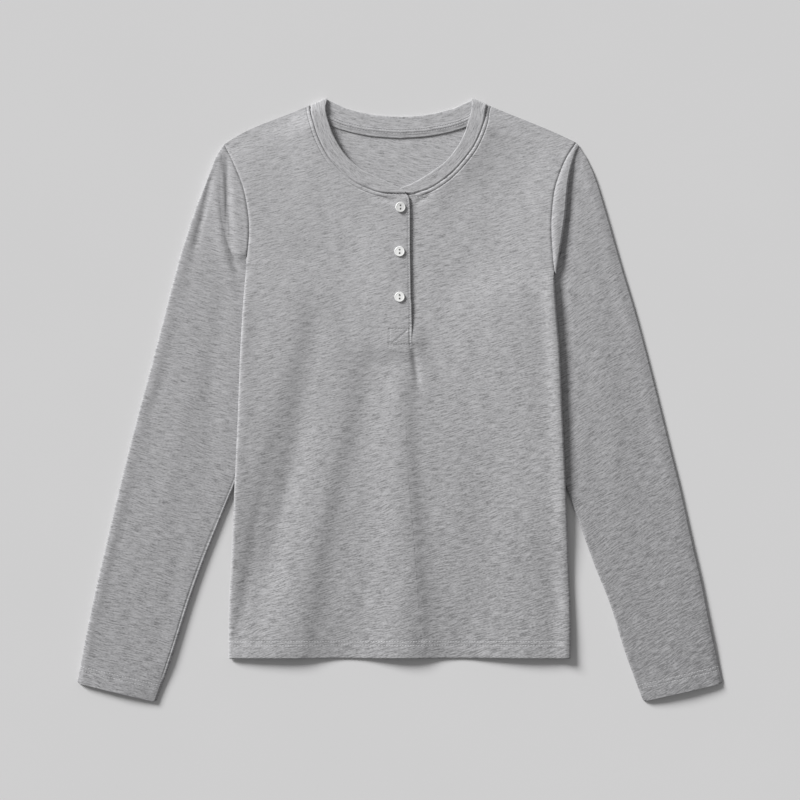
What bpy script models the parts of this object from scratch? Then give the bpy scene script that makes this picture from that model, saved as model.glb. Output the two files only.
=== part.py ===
"""A long-sleeved henley shirt, laid flat on a surface at z = 0 and seen from above.

+X is to the right as seen from above, +Y is toward the neck and +Z is up.  "left" and
"right" in names are as seen from above.  Table values and working values are
millimetres; meshes are made in metres.

The shirt is cut and sewn as the real one is: a front with a slit, a back, two set-in
sleeves, a neckband, a neck tape, the two placket strips and three buttons.  The
sleeves are turned down so that their inner halves lie under the body.
"""

import math
from collections import namedtuple

import bmesh
import bpy
import numpy as np

MM = 0.001

# Driving dimensions, in millimetres
CLOTH = 1.2  # one layer of jersey with its loft
STRIP = 1.0  # a placket strip or the neck tape
CUFF_FALL = 3.2  # how much lower the cuff lies at its corners
BAND = 2.2  # the neckband, which is folded double
TURNED = 1.6  # the turned-up hem and cuffs
GAP = 0.3  # between pieces sewn face to face
EDGE_GAP = 0.5  # between panel edges sewn side by side along a curve
HEM_DEPTH = 17.0
HEM_Y = -289.0
LIFT = 5.2  # how far the tucked sleeves lift the body
LOOSE = 1.1  # slack of the front over the back
TUCK_MARGIN = 8.0  # the lift is full this far inside the sleeve's hidden fold
LAP_RISE = 2.6  # how far the two strips under the lap lift it
LAP_RUN = 52.0  # the lap slopes up over this much of the front
PLACKET_WIDTH = 24.0
SLIT_END_Y = 62.7
TAPE_WIDTH = 10.0
BUTTON_DIAMETER = 11.4
BUTTON_THICKNESS = 1.9
BUTTON_HOLE = 1.9
BUTTON_HOLE_SPACING = 3.9
BUTTON_RIM = 1.3
TURN_RADIUS = 2.9  # of the neckband where it turns over at the shoulders

# Every table below gives x outward from the middle, so both sides read alike.
LEFT, RIGHT = -1, 1
Station = namedtuple("Station", "out y")
Neck = namedtuple("Neck", "inner_out inner_y outer_out outer_y top")
Ring = namedtuple("Ring", "outer_out outer_y inner_out inner_y bow top")
Fold = namedtuple("Fold", "x y rise left right")

ARMHOLE = {  # shoulder tip to armpit
    LEFT: (Station(197.0, 286.0), Station(187.0, 266.4), Station(175.8, 238.6),
           Station(170.2, 211.0), Station(168.7, 187.0), Station(171.4, 154.6)),
    RIGHT: (Station(197.0, 288.0), Station(184.8, 268.5), Station(174.0, 240.0),
            Station(170.0, 213.0), Station(169.1, 187.0), Station(171.6, 146.0)),
}
SEAM_TOP = {  # height of the armhole seam along the same stations
    LEFT: (2.9, 4.6, 5.8, 6.5, 7.2, 8.3),
    RIGHT: (2.9, 4.9, 6.3, 7.1, 7.6, 8.3),
}
SIDE = {  # armpit to hem
    LEFT: (Station(171.4, 154.6), Station(175.2, 110.0), Station(178.8, 50.0),
           Station(181.4, -20.0), Station(185.0, -98.0), Station(188.0, -170.0),
           Station(191.2, -235.0), Station(191.6, HEM_Y)),
    RIGHT: (Station(171.6, 146.0), Station(174.6, 100.0), Station(178.5, 50.0),
            Station(181.6, -20.0), Station(185.2, -98.0), Station(188.6, -180.0),
            Station(190.8, -235.0), Station(190.6, HEM_Y)),
}
CREST = {  # the sleeve's fold beside the armhole seam
    LEFT: (Station(199.6, 283.2), Station(197.0, 263.0), Station(195.0, 235.0),
           Station(191.0, 198.0), Station(184.5, 168.0), Station(173.2, 152.0)),
    RIGHT: (Station(198.8, 286.0), Station(193.2, 273.0), Station(187.2, 250.0),
            Station(184.4, 226.0), Station(182.4, 203.0), Station(173.6, 143.6)),
}
FOOT_RUN = {LEFT: 7.0, RIGHT: 2.6}  # soft on the left, a sharp pleat on the right
FOOT_TOP = {LEFT: 5.3, RIGHT: 3.0}
CREST_RISE = {LEFT: 0.2, RIGHT: 2.2}  # the crest's height over the armhole seam
TUCK = {  # the sleeve's inner fold, where it lies hidden under the body
    LEFT: (Station(171.4, 154.6), Station(169.5, 145.0), Station(152.0, 126.0),
           Station(132.0, 104.0), Station(124.0, 66.0), Station(143.0, 12.0),
           Station(163.0, -37.0), Station(180.5, -84.0), Station(186.5, -98.6)),
    RIGHT: (Station(171.6, 146.0), Station(169.5, 137.0), Station(152.0, 118.0),
            Station(132.0, 98.0), Station(124.0, 64.0), Station(143.0, 12.0),
            Station(163.0, -37.0), Station(180.5, -84.0), Station(186.5, -98.6)),
}
SLEEVE = {  # cuff to shoulder: both fold points, share of the armhole's bow, height
    LEFT: (Ring(361.4, -316.6, 272.7, -337.8, 0.00, 6.8),
           Ring(351.0, -262.0, 253.8, -285.0, 0.00, 5.4),
           Ring(338.2, -201.6, 235.3, -226.0, 0.00, 4.8),
           Ring(326.2, -150.0, 218.3, -178.0, 0.00, 4.6),
           Ring(314.6, -100.8, 199.5, -131.0, 0.00, 4.4),
           Ring(301.9, -50.0, 180.5, -84.0, 0.00, 4.2),
           Ring(289.4, -2.2, 163.0, -37.0, 0.00, 4.1),
           Ring(275.8, 48.0, 143.0, 12.0, 0.00, 4.1),
           Ring(261.0, 105.3, 124.0, 66.0, 0.00, 4.1),
           Ring(245.3, 163.5, 132.0, 104.0, 0.05, 4.1),
           Ring(229.5, 212.0, 152.0, 126.0, 0.20, 4.6),
           Ring(216.0, 246.5, 166.0, 141.0, 0.60, 5.1)),
    RIGHT: (Ring(361.4, -316.6, 272.2, -337.1, 0.00, 6.8),
            Ring(348.8, -260.0, 252.5, -284.0, 0.00, 5.4),
            Ring(337.6, -204.0, 235.0, -228.0, 0.00, 4.8),
            Ring(325.6, -152.0, 217.0, -183.0, 0.00, 4.6),
            Ring(313.8, -99.0, 198.3, -131.0, 0.00, 4.3),
            Ring(302.8, -55.0, 180.5, -84.0, 0.00, 4.1),
            Ring(291.2, -8.0, 163.0, -37.0, 0.00, 4.0),
            Ring(277.8, 45.0, 143.0, 12.0, 0.00, 4.0),
            Ring(263.0, 99.7, 124.0, 64.0, 0.00, 4.0),
            Ring(247.2, 152.0, 132.0, 98.0, 0.05, 4.0),
            Ring(232.6, 203.0, 152.0, 118.0, 0.20, 4.0),
            Ring(219.0, 247.5, 166.0, 133.0, 0.60, 3.9),
            Ring(208.6, 271.5, 172.0, 139.0, 0.85, 3.4)),
}
FRONT_NECK = {  # shoulder to placket: the band's folded edge, its seam, its height
    LEFT: (Neck(82.0, 337.6, 100.4, 329.9, 5.4), Neck(83.2, 325.5, 99.7, 322.0, 7.4),
           Neck(80.3, 312.0, 97.0, 311.5, 7.9), Neck(74.7, 296.6, 91.5, 294.5, 7.8),
           Neck(66.0, 281.0, 82.0, 275.5, 7.4), Neck(55.8, 268.6, 70.3, 260.5, 7.0),
           Neck(42.8, 258.0, 53.0, 245.2, 6.7), Neck(27.5, 250.5, 34.5, 236.0, 6.5),
           Neck(12.5, 243.2, 18.0, 231.4, 6.6), Neck(-4.5, 234.4, -6.5, 230.6, 6.7)),
    RIGHT: (Neck(80.6, 337.5, 97.6, 330.3, 5.0), Neck(80.0, 325.0, 95.6, 323.2, 6.3),
            Neck(76.9, 314.0, 94.1, 312.0, 6.5), Neck(72.2, 298.8, 89.0, 297.0, 6.4),
            Neck(64.5, 284.0, 80.5, 280.5, 6.2), Neck(52.0, 268.1, 66.5, 262.8, 5.9),
            Neck(39.0, 258.0, 51.5, 248.5, 5.5), Neck(24.0, 248.1, 33.5, 237.0, 4.8),
            Neck(10.0, 240.8, 14.0, 230.2, 4.1)),
}
BAND_END = Neck(-4.0, 235.8, -4.5, 231.8, 3.9)  # the right end, tucked under the left
BACK_NECK = (  # shoulder to middle; the other half mirrors it
    Neck(81.4, 336.4, 99.6, 328.4, BAND), Neck(71.0, 331.3, 83.0, 317.5, BAND),
    Neck(57.0, 325.6, 64.5, 308.8, BAND), Neck(30.0, 319.6, 33.0, 301.8, BAND),
    Neck(0.0, 317.2, 0.0, 299.2, BAND),
)
PLACKET_EDGE = (Station(6.6, 231.0), Station(11.0, 220.6), Station(11.5, 169.0),
                Station(12.3, 118.0), Station(13.0, SLIT_END_Y), Station(9.0, HEM_Y))
SHOULDER_BOW = {LEFT: 3.4, RIGHT: 1.2}  # how far the shoulder's edge bows up
SIDE_ROLL = {LEFT: 0.7, RIGHT: 2.6}  # how far the side's fold stands up along its edge
FOLDS = (  # crest lines of the front's soft folds, from the top down
    (Fold(-40, 130, 0.0, 26, 24), Fold(-66, 50, 0.9, 30, 26), Fold(-92, -90, 2.2, 36, 34),
     Fold(-112, -190, 3.5, 48, 44), Fold(-132, HEM_Y, 4.9, 62, 60)),
    (Fold(2, 48, 0.0, 24, 20), Fold(-8, 0, 1.1, 28, 24), Fold(-8, -90, 2.1, 34, 32),
     Fold(0, -190, 3.4, 44, 42), Fold(2, HEM_Y, 5.0, 50, 48)),
    (Fold(120, -60, 0.0, 50, 50), Fold(138, -190, 1.7, 60, 60), Fold(148, HEM_Y, 4.4, 74, 90)),
)
BUTTONS = {  # placed down the placket: height on the front, lean to the right in degrees
    "button_top": (0.4, 215.5, 9.0),
    "button_middle": (-0.4, 166.0, 0.0),
    "button_bottom": (-0.4, 115.2, 0.0),
}

# Mesh density
HALF_COLUMNS = (0.0, 0.042, 0.083, 0.125, 0.19, 0.27, 0.36, 0.46, 0.56, 0.67, 0.78, 0.88,
                0.95, 1.0)
BACK_COLUMNS = (0.0, 0.12, 0.25, 0.38, 0.52, 0.64, 0.75, 0.84, 0.92, 1.0)
NECK_ROWS = 9
NECK_ROWS_END_Y = 205.0  # where the armhole meets the last of the neck's rows
PLACKET_ROWS = ((175.0, 2), (None, 1), (SLIT_END_Y, 5))
BODY_ROWS = ((-230.0, 9), (HEM_Y + HEM_DEPTH + 1.0, 1), (HEM_Y + HEM_DEPTH, 1), (HEM_Y, 1))
SLEEVE_TOP_STEPS = 9
SLEEVE_LOW_STEPS = 4
ROUND_SEGMENTS = 24

COLOURS = {
    "jersey": (0.37, 0.37, 0.38, 1.0),
    "tape": (0.40, 0.40, 0.41, 1.0),
    "pearl": (0.86, 0.86, 0.84, 1.0),
}


# ---------------------------------------------------------------- curves and heights

def smooth_curve(points, samples=10):
    """A Catmull-Rom curve through the points, as a dense polyline."""
    points = np.array(points, float)
    ends = [2 * points[0] - points[1]], [2 * points[-1] - points[-2]]
    points = np.concatenate([ends[0], points, ends[1]])
    run = []
    for a, b, c, d in zip(points, points[1:], points[2:], points[3:]):
        for t in np.arange(samples) / samples:
            run.append(0.5 * (2 * b + (c - a) * t + (2 * a - 5 * b + 4 * c - d) * t**2
                              + (3 * b - a - 3 * c + d) * t**3))
    run.append(points[-2])
    return np.array(run)


def at_lengths(curve, fractions, measured=2):
    """Points at fractions of the curve's length, measured over its first columns."""
    steps = np.linalg.norm(np.diff(curve[:, :measured], axis=0), axis=1)
    run = np.concatenate([[0.0], np.cumsum(steps)]) / steps.sum()
    return np.stack([np.interp(fractions, run, column) for column in curve.T], axis=1)


def out_at(curve, y):
    """How far out a curve that runs down the shirt is at each y."""
    return np.interp(y, curve[::-1, 1], curve[::-1, 0])


def ease(start, end, value):
    """A smooth step from 0 at start to 1 at end."""
    t = np.clip((value - start) / (end - start), 0.0, 1.0)
    return t * t * (3 - 2 * t)


def nearest(curve, x, y):
    """Distance to the nearest point of a dense curve, and that point's index."""
    apart = np.hypot(x[..., None] - curve[:, 0], y[..., None] - curve[:, 1])
    return apart.min(axis=-1), apart.argmin(axis=-1)


def sided(curve, side):
    """A curve given outward from the middle, placed on its side."""
    return curve * np.array([side] + [1] * (curve.shape[1] - 1))


ARMHOLE_CURVE = {side: smooth_curve([(*p, z) for p, z in zip(ARMHOLE[side], SEAM_TOP[side])])
                 for side in (LEFT, RIGHT)}
SIDE_CURVE = {side: smooth_curve(SIDE[side]) for side in (LEFT, RIGHT)}
TUCK_CURVE = {side: smooth_curve(TUCK[side]) for side in (LEFT, RIGHT)}
NECK_CURVE = {side: smooth_curve(FRONT_NECK[side]) for side in (LEFT, RIGHT)}
BACK_NECK_CURVE = smooth_curve(BACK_NECK)
PLACKET_CURVE = smooth_curve(PLACKET_EDGE)


def shoulder_bow(share, side):
    """How far the shoulder's edge bows up at shares of its run from neck to sleeve."""
    return SHOULDER_BOW[side] * np.sin(math.pi * share ** 1.8)


def tuck_lift(x, y, side, run, along):
    """How far the sleeve tucked underneath lifts a panel, which slopes over the run."""
    curve = TUCK_CURVE[side]
    tuck = np.minimum(out_at(curve, y), out_at(curve, y - 2 * TUCK_MARGIN)) - TUCK_MARGIN
    armpit = ARMHOLE[side][-1].y
    down = ease(armpit + run + 4, armpit - 2, y) * ease(along, -104, y)
    return LIFT * ease(tuck - run, tuck, np.abs(x)) * down


def back_bottom(x, y, side):
    return tuck_lift(x, y, side, 20, -160)


def fold_height(x, y):
    """The front's soft folds: each falls away smoothly on both sides of its crest."""
    total = np.zeros_like(x)
    for crest in FOLDS:
        rows = np.array(crest)[::-1]
        middle, rise, left, right = (np.interp(y, rows[:, 1], rows[:, k]) for k in (0, 2, 3, 4))
        width = np.where(x < middle, left, right)
        away = np.clip(np.abs(x - middle) / width, 0.0, 1.0)
        total += rise * (0.5 + 0.5 * np.cos(math.pi * away))
    return total


def lap_height(x, y, side):
    """The lap stands on the two placket strips and eases down past the slit's end."""
    edge = out_at(PLACKET_CURVE, y)
    down = ease(38, SLIT_END_Y - 1, y)
    if side == LEFT:
        return LAP_RISE * down * ease(edge - PLACKET_WIDTH - LAP_RUN, edge - PLACKET_WIDTH, x)
    return LAP_RISE * down * np.exp(-((x - edge) / 6) ** 2) * (y <= SLIT_END_Y + 0.5)


def front_top(x, y, side):
    """Height of the front's outer face."""
    armpit = ARMHOLE[side][-1].y
    height = 2 * CLOTH + GAP + LOOSE + tuck_lift(x, y, side, 42, -215)
    height = height + 0.1 * ease(HEM_Y + 45, HEM_Y + 18, y) + fold_height(x, y)
    seam = sided(ARMHOLE_CURVE[side], side)
    away, place = nearest(seam, x, y)
    height += (seam[place, 2] - height) * np.exp(-(away / 26) ** 2)
    inside = out_at(SIDE_CURVE[side], y) - np.abs(x)
    rolled = np.exp(-((inside - 5) / 8) ** 2) * ease(armpit - 4, armpit - 40, y)
    height = height + SIDE_ROLL[side] * rolled + lap_height(x, y, side)
    neck = sided(NECK_CURVE[side][:, 2:], side)
    away, place = nearest(neck, x, y)
    height += (neck[place, 2] - height) * np.exp(-(away / 20) ** 2)
    along = np.linspace(0, 1, 40)
    shoulder = neck[0, :2] + along[:, None] * (seam[0, :2] - neck[0, :2])
    shoulder[:, 1] += shoulder_bow(along, side)
    away, _ = nearest(shoulder, x, y)
    flat = 2 * CLOTH + GAP + 0.1
    return flat + (height - flat) * ease(-2, 13, away)


# ---------------------------------------------------------------- meshes and materials

def material(name, roughness):
    made = bpy.data.materials.get(name)
    if made is None:
        made = bpy.data.materials.new(name)
        made.use_nodes = True
        shader = made.node_tree.nodes["Principled BSDF"]
        shader.inputs["Base Color"].default_value = COLOURS[name]
        shader.inputs["Roughness"].default_value = roughness
        shader.inputs["Metallic"].default_value = 0.0
    return made


def add_object(name, points, faces, colour, roughness=0.85, smooth_angle=35):
    """A mesh object from points in millimetres, its faces turned outward."""
    mesh = bpy.data.meshes.new(name)
    mesh.from_pydata((np.asarray(points) * MM).tolist(), [], faces)
    shape = bmesh.new()
    shape.from_mesh(mesh)
    bmesh.ops.recalc_face_normals(shape, faces=shape.faces)
    if shape.calc_volume(signed=True) < 0:
        bmesh.ops.reverse_faces(shape, faces=shape.faces)
    shape.to_mesh(mesh)
    shape.free()
    mesh.materials.append(material(colour, roughness))
    mesh.shade_smooth()
    mesh.set_sharp_from_angle(angle=math.radians(smooth_angle))
    thing = bpy.data.objects.new(name, mesh)
    bpy.context.collection.objects.link(thing)
    return thing


def grid_faces(rows, columns, first=0):
    return [(first + r * columns + c, first + r * columns + c + 1,
             first + (r + 1) * columns + c + 1, first + (r + 1) * columns + c)
            for r in range(rows - 1) for c in range(columns - 1)]


def vertex_normals(points, faces):
    """Area-weighted normals of a sheet of quads."""
    normals = np.zeros_like(points)
    for face in faces:
        a, b, c, d = (points[k] for k in face)
        normals[list(face)] += np.cross(c - a, d - b)
    return normals / np.maximum(np.linalg.norm(normals, axis=1, keepdims=True), 1e-9)


def wall(name, points, faces, thickness, colour="jersey"):
    """A closed wall: an outer sheet, its points moved in by the thickness, and its edges."""
    inner = points - vertex_normals(points, faces) * np.asarray(thickness).reshape(-1, 1)
    count = len(points)
    sides = {}
    for face in faces:
        for a, b in zip(face, face[1:] + face[:1]):
            sides[(a, b)] = (b, a) not in sides
            if not sides[(a, b)]:
                sides[(b, a)] = False
    rims = [(b, a, a + count, b + count) for (a, b), open_edge in sides.items() if open_edge]
    inside = [tuple(k + count for k in reversed(face)) for face in faces]
    used = sorted({k for face in faces for k in face})
    renamed = {k: i for i, k in enumerate(used + [k + count for k in used])}
    both = np.concatenate([points, inner])[list(renamed)]
    closed = [tuple(renamed[k] for k in face) for face in list(faces) + inside + rims]
    return add_object(name, both, closed, colour)


# ---------------------------------------------------------------- front and back

def row_heights(rows, start):
    """Row ends at even steps between the given heights."""
    ends = [start]
    for end, steps in rows:
        ends += list(np.linspace(ends[-1], end, steps + 1)[1:])
    return np.array(ends[1:])


def outer_boundary(side, neck_rows):
    """The armhole and side edge of one half, a point for each row, outward from the middle."""
    armhole = ARMHOLE_CURVE[side]
    armpit = ARMHOLE[side][-1].y
    upper = np.linspace(armhole[0, 1], NECK_ROWS_END_Y, neck_rows + 1)
    rest = row_heights([(armpit if end is None else end, steps) for end, steps in PLACKET_ROWS]
                       + list(BODY_ROWS), NECK_ROWS_END_Y)
    y = np.concatenate([upper, rest])
    out = np.where(y >= armpit, out_at(armhole, y), out_at(SIDE_CURVE[side], y))
    return np.stack([out, y], axis=1)


def half_panel(inner, outer, columns, side):
    """Points between the inner and outer edges, the upper rows bowed with the shoulder."""
    share = np.array(columns)[None, :, None]
    plan = inner[:, None] * (1 - share) + outer[:, None] * share
    upper = ease(60, 0, outer[0, 1] - outer[:, 1])
    plan[..., 1] += upper[:, None] * shoulder_bow(np.array(columns), side)
    return plan


def inner_boundary(neck, middle):
    """The neck seam and then the middle line, a point for each row."""
    y = np.concatenate([np.linspace(neck[-1, 1], SLIT_END_Y, slit_row() - NECK_ROWS + 1)[1:],
                        row_heights(BODY_ROWS, SLIT_END_Y)])
    below = np.stack([middle(y), y], axis=1)
    return np.concatenate([neck, below])


def slit_row():
    """The row where the slit ends."""
    return NECK_ROWS + sum(steps for _, steps in PLACKET_ROWS)


def front_grid(side):
    """Outer-face points of one half of the front: rows down, columns outward."""
    fractions = np.linspace(0, 1, NECK_ROWS + 1)
    neck = at_lengths(NECK_CURVE[side][:, 2:4], fractions)
    neck = sided(neck, side)
    toward = np.gradient(neck, axis=0)
    normal = np.stack([-toward[:, 1], toward[:, 0]], axis=1) * side
    neck = neck + GAP * 1.2 * normal / np.linalg.norm(normal, axis=1, keepdims=True)
    slot = 0.0 if side == LEFT else GAP + 0.1
    neck[-1, 1] -= 2.5 * (side == RIGHT)
    neck[-1, 0] = out_at(PLACKET_CURVE, neck[-1, 1]) + slot
    inner = inner_boundary(
        neck, lambda y: out_at(PLACKET_CURVE, y) + slot * (y > SLIT_END_Y + 0.1))
    outer = sided(outer_boundary(side, NECK_ROWS), side)
    plan = half_panel(inner, outer, HALF_COLUMNS, side)
    x, y = plan[..., 0], plan[..., 1]
    return np.stack([x, y, front_top(x, y, side)], axis=-1)


def hem_thickness(y):
    return np.where(y < HEM_Y + HEM_DEPTH + 0.5, TURNED, CLOTH)


def build_front():
    """One wall with a slit from the neck to the stitched box of the placket."""
    left, right = front_grid(LEFT), front_grid(RIGHT)
    rows, columns = left.shape[:2]
    points = np.concatenate([left.reshape(-1, 3), right.reshape(-1, 3)])
    count = rows * columns
    faces = [face[::-1] for face in grid_faces(rows, columns)] + grid_faces(rows, columns, count)
    joined = {count + r * columns: r * columns for r in range(slit_row(), rows)}
    faces = [tuple(joined.get(k, k) for k in face)[::-1] for face in faces]
    wall("front", points, faces, hem_thickness(points[:, 1]))
    return left, right


def build_back():
    """The back lies on the surface and rises only over the tucked sleeves."""
    halves = []
    for side in (LEFT, RIGHT):
        fractions = np.linspace(0, 1, NECK_ROWS + 1)
        neck = at_lengths(BACK_NECK_CURVE[:, 2:4], fractions)
        toward = np.gradient(neck, axis=0)
        normal = np.stack([-toward[:, 1], toward[:, 0]], axis=1)
        neck = neck + GAP * 1.2 * normal / np.linalg.norm(normal, axis=1, keepdims=True)
        neck[-1, 0] = 0.0
        inner = inner_boundary(sided(neck, side), np.zeros_like)
        outer = sided(outer_boundary(side, NECK_ROWS), side)
        plan = half_panel(inner, outer, BACK_COLUMNS, side)
        x, y = plan[..., 0], plan[..., 1]
        halves.append(np.stack([x, y, back_bottom(x, y, side)], axis=-1))
    rows, columns = halves[0].shape[:2]
    points = np.concatenate([half.reshape(-1, 3) for half in halves])
    count = rows * columns
    faces = [face[::-1] for face in grid_faces(rows, columns)] + grid_faces(rows, columns, count)
    joined = {count + r * columns: r * columns for r in range(NECK_ROWS, rows)}
    faces = [tuple(joined.get(k, k) for k in face) for face in faces]
    wall("back", points, faces, hem_thickness(points[:, 1]))


# ---------------------------------------------------------------- sleeves

def sleeve_plan(side, fractions):
    """Plan curves of every ring, cuff to armhole, from the outer fold to the inner one."""
    crest = at_lengths(smooth_curve(CREST[side]), fractions)
    armhole = at_lengths(ARMHOLE_CURVE[side], fractions)
    toward = np.gradient(armhole[:, :2], axis=0)
    normal = np.stack([-toward[:, 1], toward[:, 0]], axis=1)
    normal /= np.linalg.norm(normal, axis=1, keepdims=True)
    taper = (np.sin(math.pi * np.clip(fractions, 0.0, 1.0)) ** 0.5)[:, None]
    foot = crest + FOOT_RUN[side] * (0.25 + 0.75 * taper) * np.array([1.0, -0.35])
    bow = foot - np.outer(1 - fractions, foot[0]) - np.outer(fractions, foot[-1])
    plans, tops = [], []
    for outer_out, outer_y, inner_out, inner_y, share, top in SLEEVE[side]:
        line = (np.outer(1 - fractions, (outer_out, outer_y))
                + np.outer(fractions, (inner_out, inner_y)))
        plans.append(line + share * bow)
        tops.append(np.full(len(fractions), top))
    plans += [foot, crest, armhole[:, :2] + EDGE_GAP * normal]
    strip = armhole[:, 2] + 0.2 + CREST_RISE[side] * taper[:, 0]
    tops += [np.full(len(fractions), FOOT_TOP[side]), strip, armhole[:, 2]]
    return plans, tops


def sleeve_loop(plan, top, low, thick, side):
    """One ring's outer and inner loops: over the top, round the folds and back below."""
    chord = plan[-1] - plan[0]
    length = np.linalg.norm(chord)
    across = np.concatenate([[0.0], np.cumsum(np.linalg.norm(np.diff(plan, axis=0), axis=1))])
    ends = np.array([(top[0] - low[0]) / 2, (top[-1] - low[-1]) / 2])

    def place(u):
        return np.array([np.interp(u, across, plan[:, 0]), np.interp(u, across, plan[:, 1])])

    def height(values, u):
        return np.interp(u, across, values)

    outer, inner = [], []

    def add(u, z, u_in, z_in):
        outer.append((*(place(u) * (side, 1)), z))
        inner.append((*(place(u_in) * (side, 1)), z_in))

    total = across[-1]
    for end, radius in enumerate(ends):
        middle = (low[-1 if end else 0] + top[-1 if end else 0]) / 2
        hub = total - radius if end else radius
        way = 1 if end else -1
        turns = (90, 40, 0, -40, -90) if end else (-90, -40, 0, 40, 90)
        for turn in turns:
            angle = math.radians(turn)
            t = thick[-1 if end else 0]
            if abs(turn) == 90:
                t = CLOTH if t < CLOTH else t
            reach = radius - t
            add(hub + way * radius * math.cos(angle), middle + radius * math.sin(angle),
                hub + way * reach * math.cos(angle), middle + reach * math.sin(angle))
        if end:
            for u in np.linspace(total - radius, ends[0], SLEEVE_LOW_STEPS + 2)[1:-1]:
                add(u, height(low, u), u, height(low, u) + thick[0])
        else:
            for u in np.linspace(radius, total - ends[1], SLEEVE_TOP_STEPS + 2)[1:-1]:
                add(u, height(top, u), u, height(top, u) - height(thick, u))
    return outer, inner


def build_sleeve(side, name):
    fractions = np.linspace(0, 1, 25)
    plans, tops = sleeve_plan(side, fractions)
    rings = []
    rolled = np.exp(-((fractions - 0.06) / 0.07) ** 2)
    for index, (plan, top) in enumerate(zip(plans, tops)):
        last = len(plans) - 1 - index
        low = np.zeros(len(fractions))
        thick = np.full(len(fractions), CLOTH)
        if last <= 1:
            lift = back_bottom(plan[:, 0] * side, plan[:, 1], side)
            low = lift * (1.0 if last == 0 else 0.45)
            thick = CLOTH + 1.6 * ease(0.1, 0.4, fractions) * ease(0.98, 0.75, fractions)
        if index == 0:
            top = top - CUFF_FALL * (1 - np.sin(math.pi * fractions) ** 0.6)
        if last > 2:
            top = top + 0.8 * rolled * ease(2, 8, last)
            hidden = ease(-120, -90, plan[:, 1]) * ease(
                -8, 6, out_at(SIDE_CURVE[side], plan[:, 1]) - plan[:, 0])
            top = top + (np.minimum(top, 4.0) - top) * hidden
        if last == 1:
            top = top - 1.4 * ease(0.8, 1.0, fractions)
        rings.append(sleeve_loop(plan, top, low, thick, side))
    cuff = cuff_rings(rings)
    around = len(rings[0][0])
    outer = np.array([ring[0] for ring in cuff]).reshape(-1, 3)
    inner = np.array([ring[1] for ring in cuff]).reshape(-1, 3)
    count, offset = len(cuff), len(outer)
    faces = []
    for r in range(count - 1):
        for c in range(around):
            a, b = r * around + c, r * around + (c + 1) % around
            faces.append((a, b, b + around, a + around))
            faces.append(tuple(k + offset for k in (a + around, b + around, b, a)))
    for c in range(around):
        nxt = (c + 1) % around
        faces.append((nxt, c, c + offset, nxt + offset))
        top = (count - 1) * around
        faces.append((top + c, top + nxt, top + nxt + offset, top + c + offset))
    add_object(name, np.concatenate([outer, inner]), faces, "jersey")


def cuff_rings(rings):
    """The first ring's spacing split at the cuff's turning, whose wall is thicker."""
    first, second = (np.array(ring) for ring in rings[:2])
    run = np.linalg.norm(second[0].mean(axis=0) - first[0].mean(axis=0))
    made = []
    for depth, extra in ((0.0, TURNED - CLOTH), (HEM_DEPTH, TURNED - CLOTH), (HEM_DEPTH + 1, 0.0)):
        ring = first + (second - first) * depth / run
        inward = ring[1] - ring[0]
        inward /= np.linalg.norm(inward, axis=1, keepdims=True)
        made.append((ring[0], ring[1] + inward * extra))
    return made + rings[1:]


# ---------------------------------------------------------------- neckband, tape, placket

def band_sections():
    """Neckband sections from its left end round the back to its right end.

    Each is the outer face's two edge points and the direction that the wall goes in.
    """
    up = np.array([0.0, 0.0, 1.0])
    fractions = np.linspace(0, 1, NECK_ROWS + 1)

    def front(side):
        rows = at_lengths_seam(NECK_CURVE[side], fractions)
        return [((side * r[0], r[1], r[4]), (side * r[2], r[3], r[4]), up) for r in rows[1:]]

    def turn(side):
        top, back = FRONT_NECK[side][0], BACK_NECK[0]
        inner = np.array([side * top.inner_out, top.inner_y])
        outer = np.array([side * top.outer_out, top.outer_y])
        edge = (inner - outer) / np.linalg.norm(inner - outer)
        away = np.array([edge[1], -edge[0]])
        away = away if away[1] > 0 else -away
        turned = []
        for degrees in (55, 20, -20, -60):
            angle = math.radians(degrees)
            push = away * (TURN_RADIUS * math.cos(angle) - BAND)
            height = TURN_RADIUS + TURN_RADIUS * math.sin(angle)
            normal = np.array([*(away * math.cos(angle)), math.sin(angle)])
            turned.append(((*(inner + push), height), (*(outer + push), height), normal))
        return turned

    def back(side, rows):
        return [((side * r.inner_out, r.inner_y, 0.0), (side * r.outer_out, r.outer_y, 0.0), -up)
                for r in rows]

    rows = [Neck(*row) for row in at_lengths_seam(BACK_NECK_CURVE, np.linspace(0.04, 1, 7))]
    made = front(LEFT)[::-1] + turn(LEFT) + back(LEFT, rows)
    made += back(RIGHT, rows[-2::-1]) + turn(RIGHT)[::-1] + front(RIGHT)
    end = BAND_END
    made.append(((end.inner_out, end.inner_y, end.top), (end.outer_out, end.outer_y, end.top), up))
    return made


def at_lengths_seam(curve, fractions):
    """Rows of a neck table at fractions of its seam's length."""
    order = curve[:, [2, 3, 0, 1, 4]]
    return at_lengths(order, fractions)[:, [2, 3, 0, 1, 4]]


def build_neckband():
    """The band's folded edge is rounded; the wall goes in from each section's outer face."""
    sections = []
    for inner, outer, normal in band_sections():
        inner, outer = np.array(inner), np.array(outer)
        reach = inner - outer
        reach /= np.linalg.norm(reach)
        depth = -np.asarray(normal) * BAND
        profile = [outer, (inner + outer) / 2, inner - reach * 0.8,
                   inner + depth * 0.25, inner + depth * 0.75,
                   inner - reach * 0.8 + depth, (inner + outer) / 2 + depth, outer + depth]
        sections.append(profile)
    around = len(sections[0])
    points = np.array(sections).reshape(-1, 3)
    last = (len(sections) - 1) * around
    faces = [(r * around + c, r * around + (c + 1) % around,
              (r + 1) * around + (c + 1) % around, (r + 1) * around + c)
             for r in range(len(sections) - 1) for c in range(around)]
    faces += [tuple(reversed(range(around))), tuple(range(last, last + around))]
    add_object("neckband", points, faces, "jersey")


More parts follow.
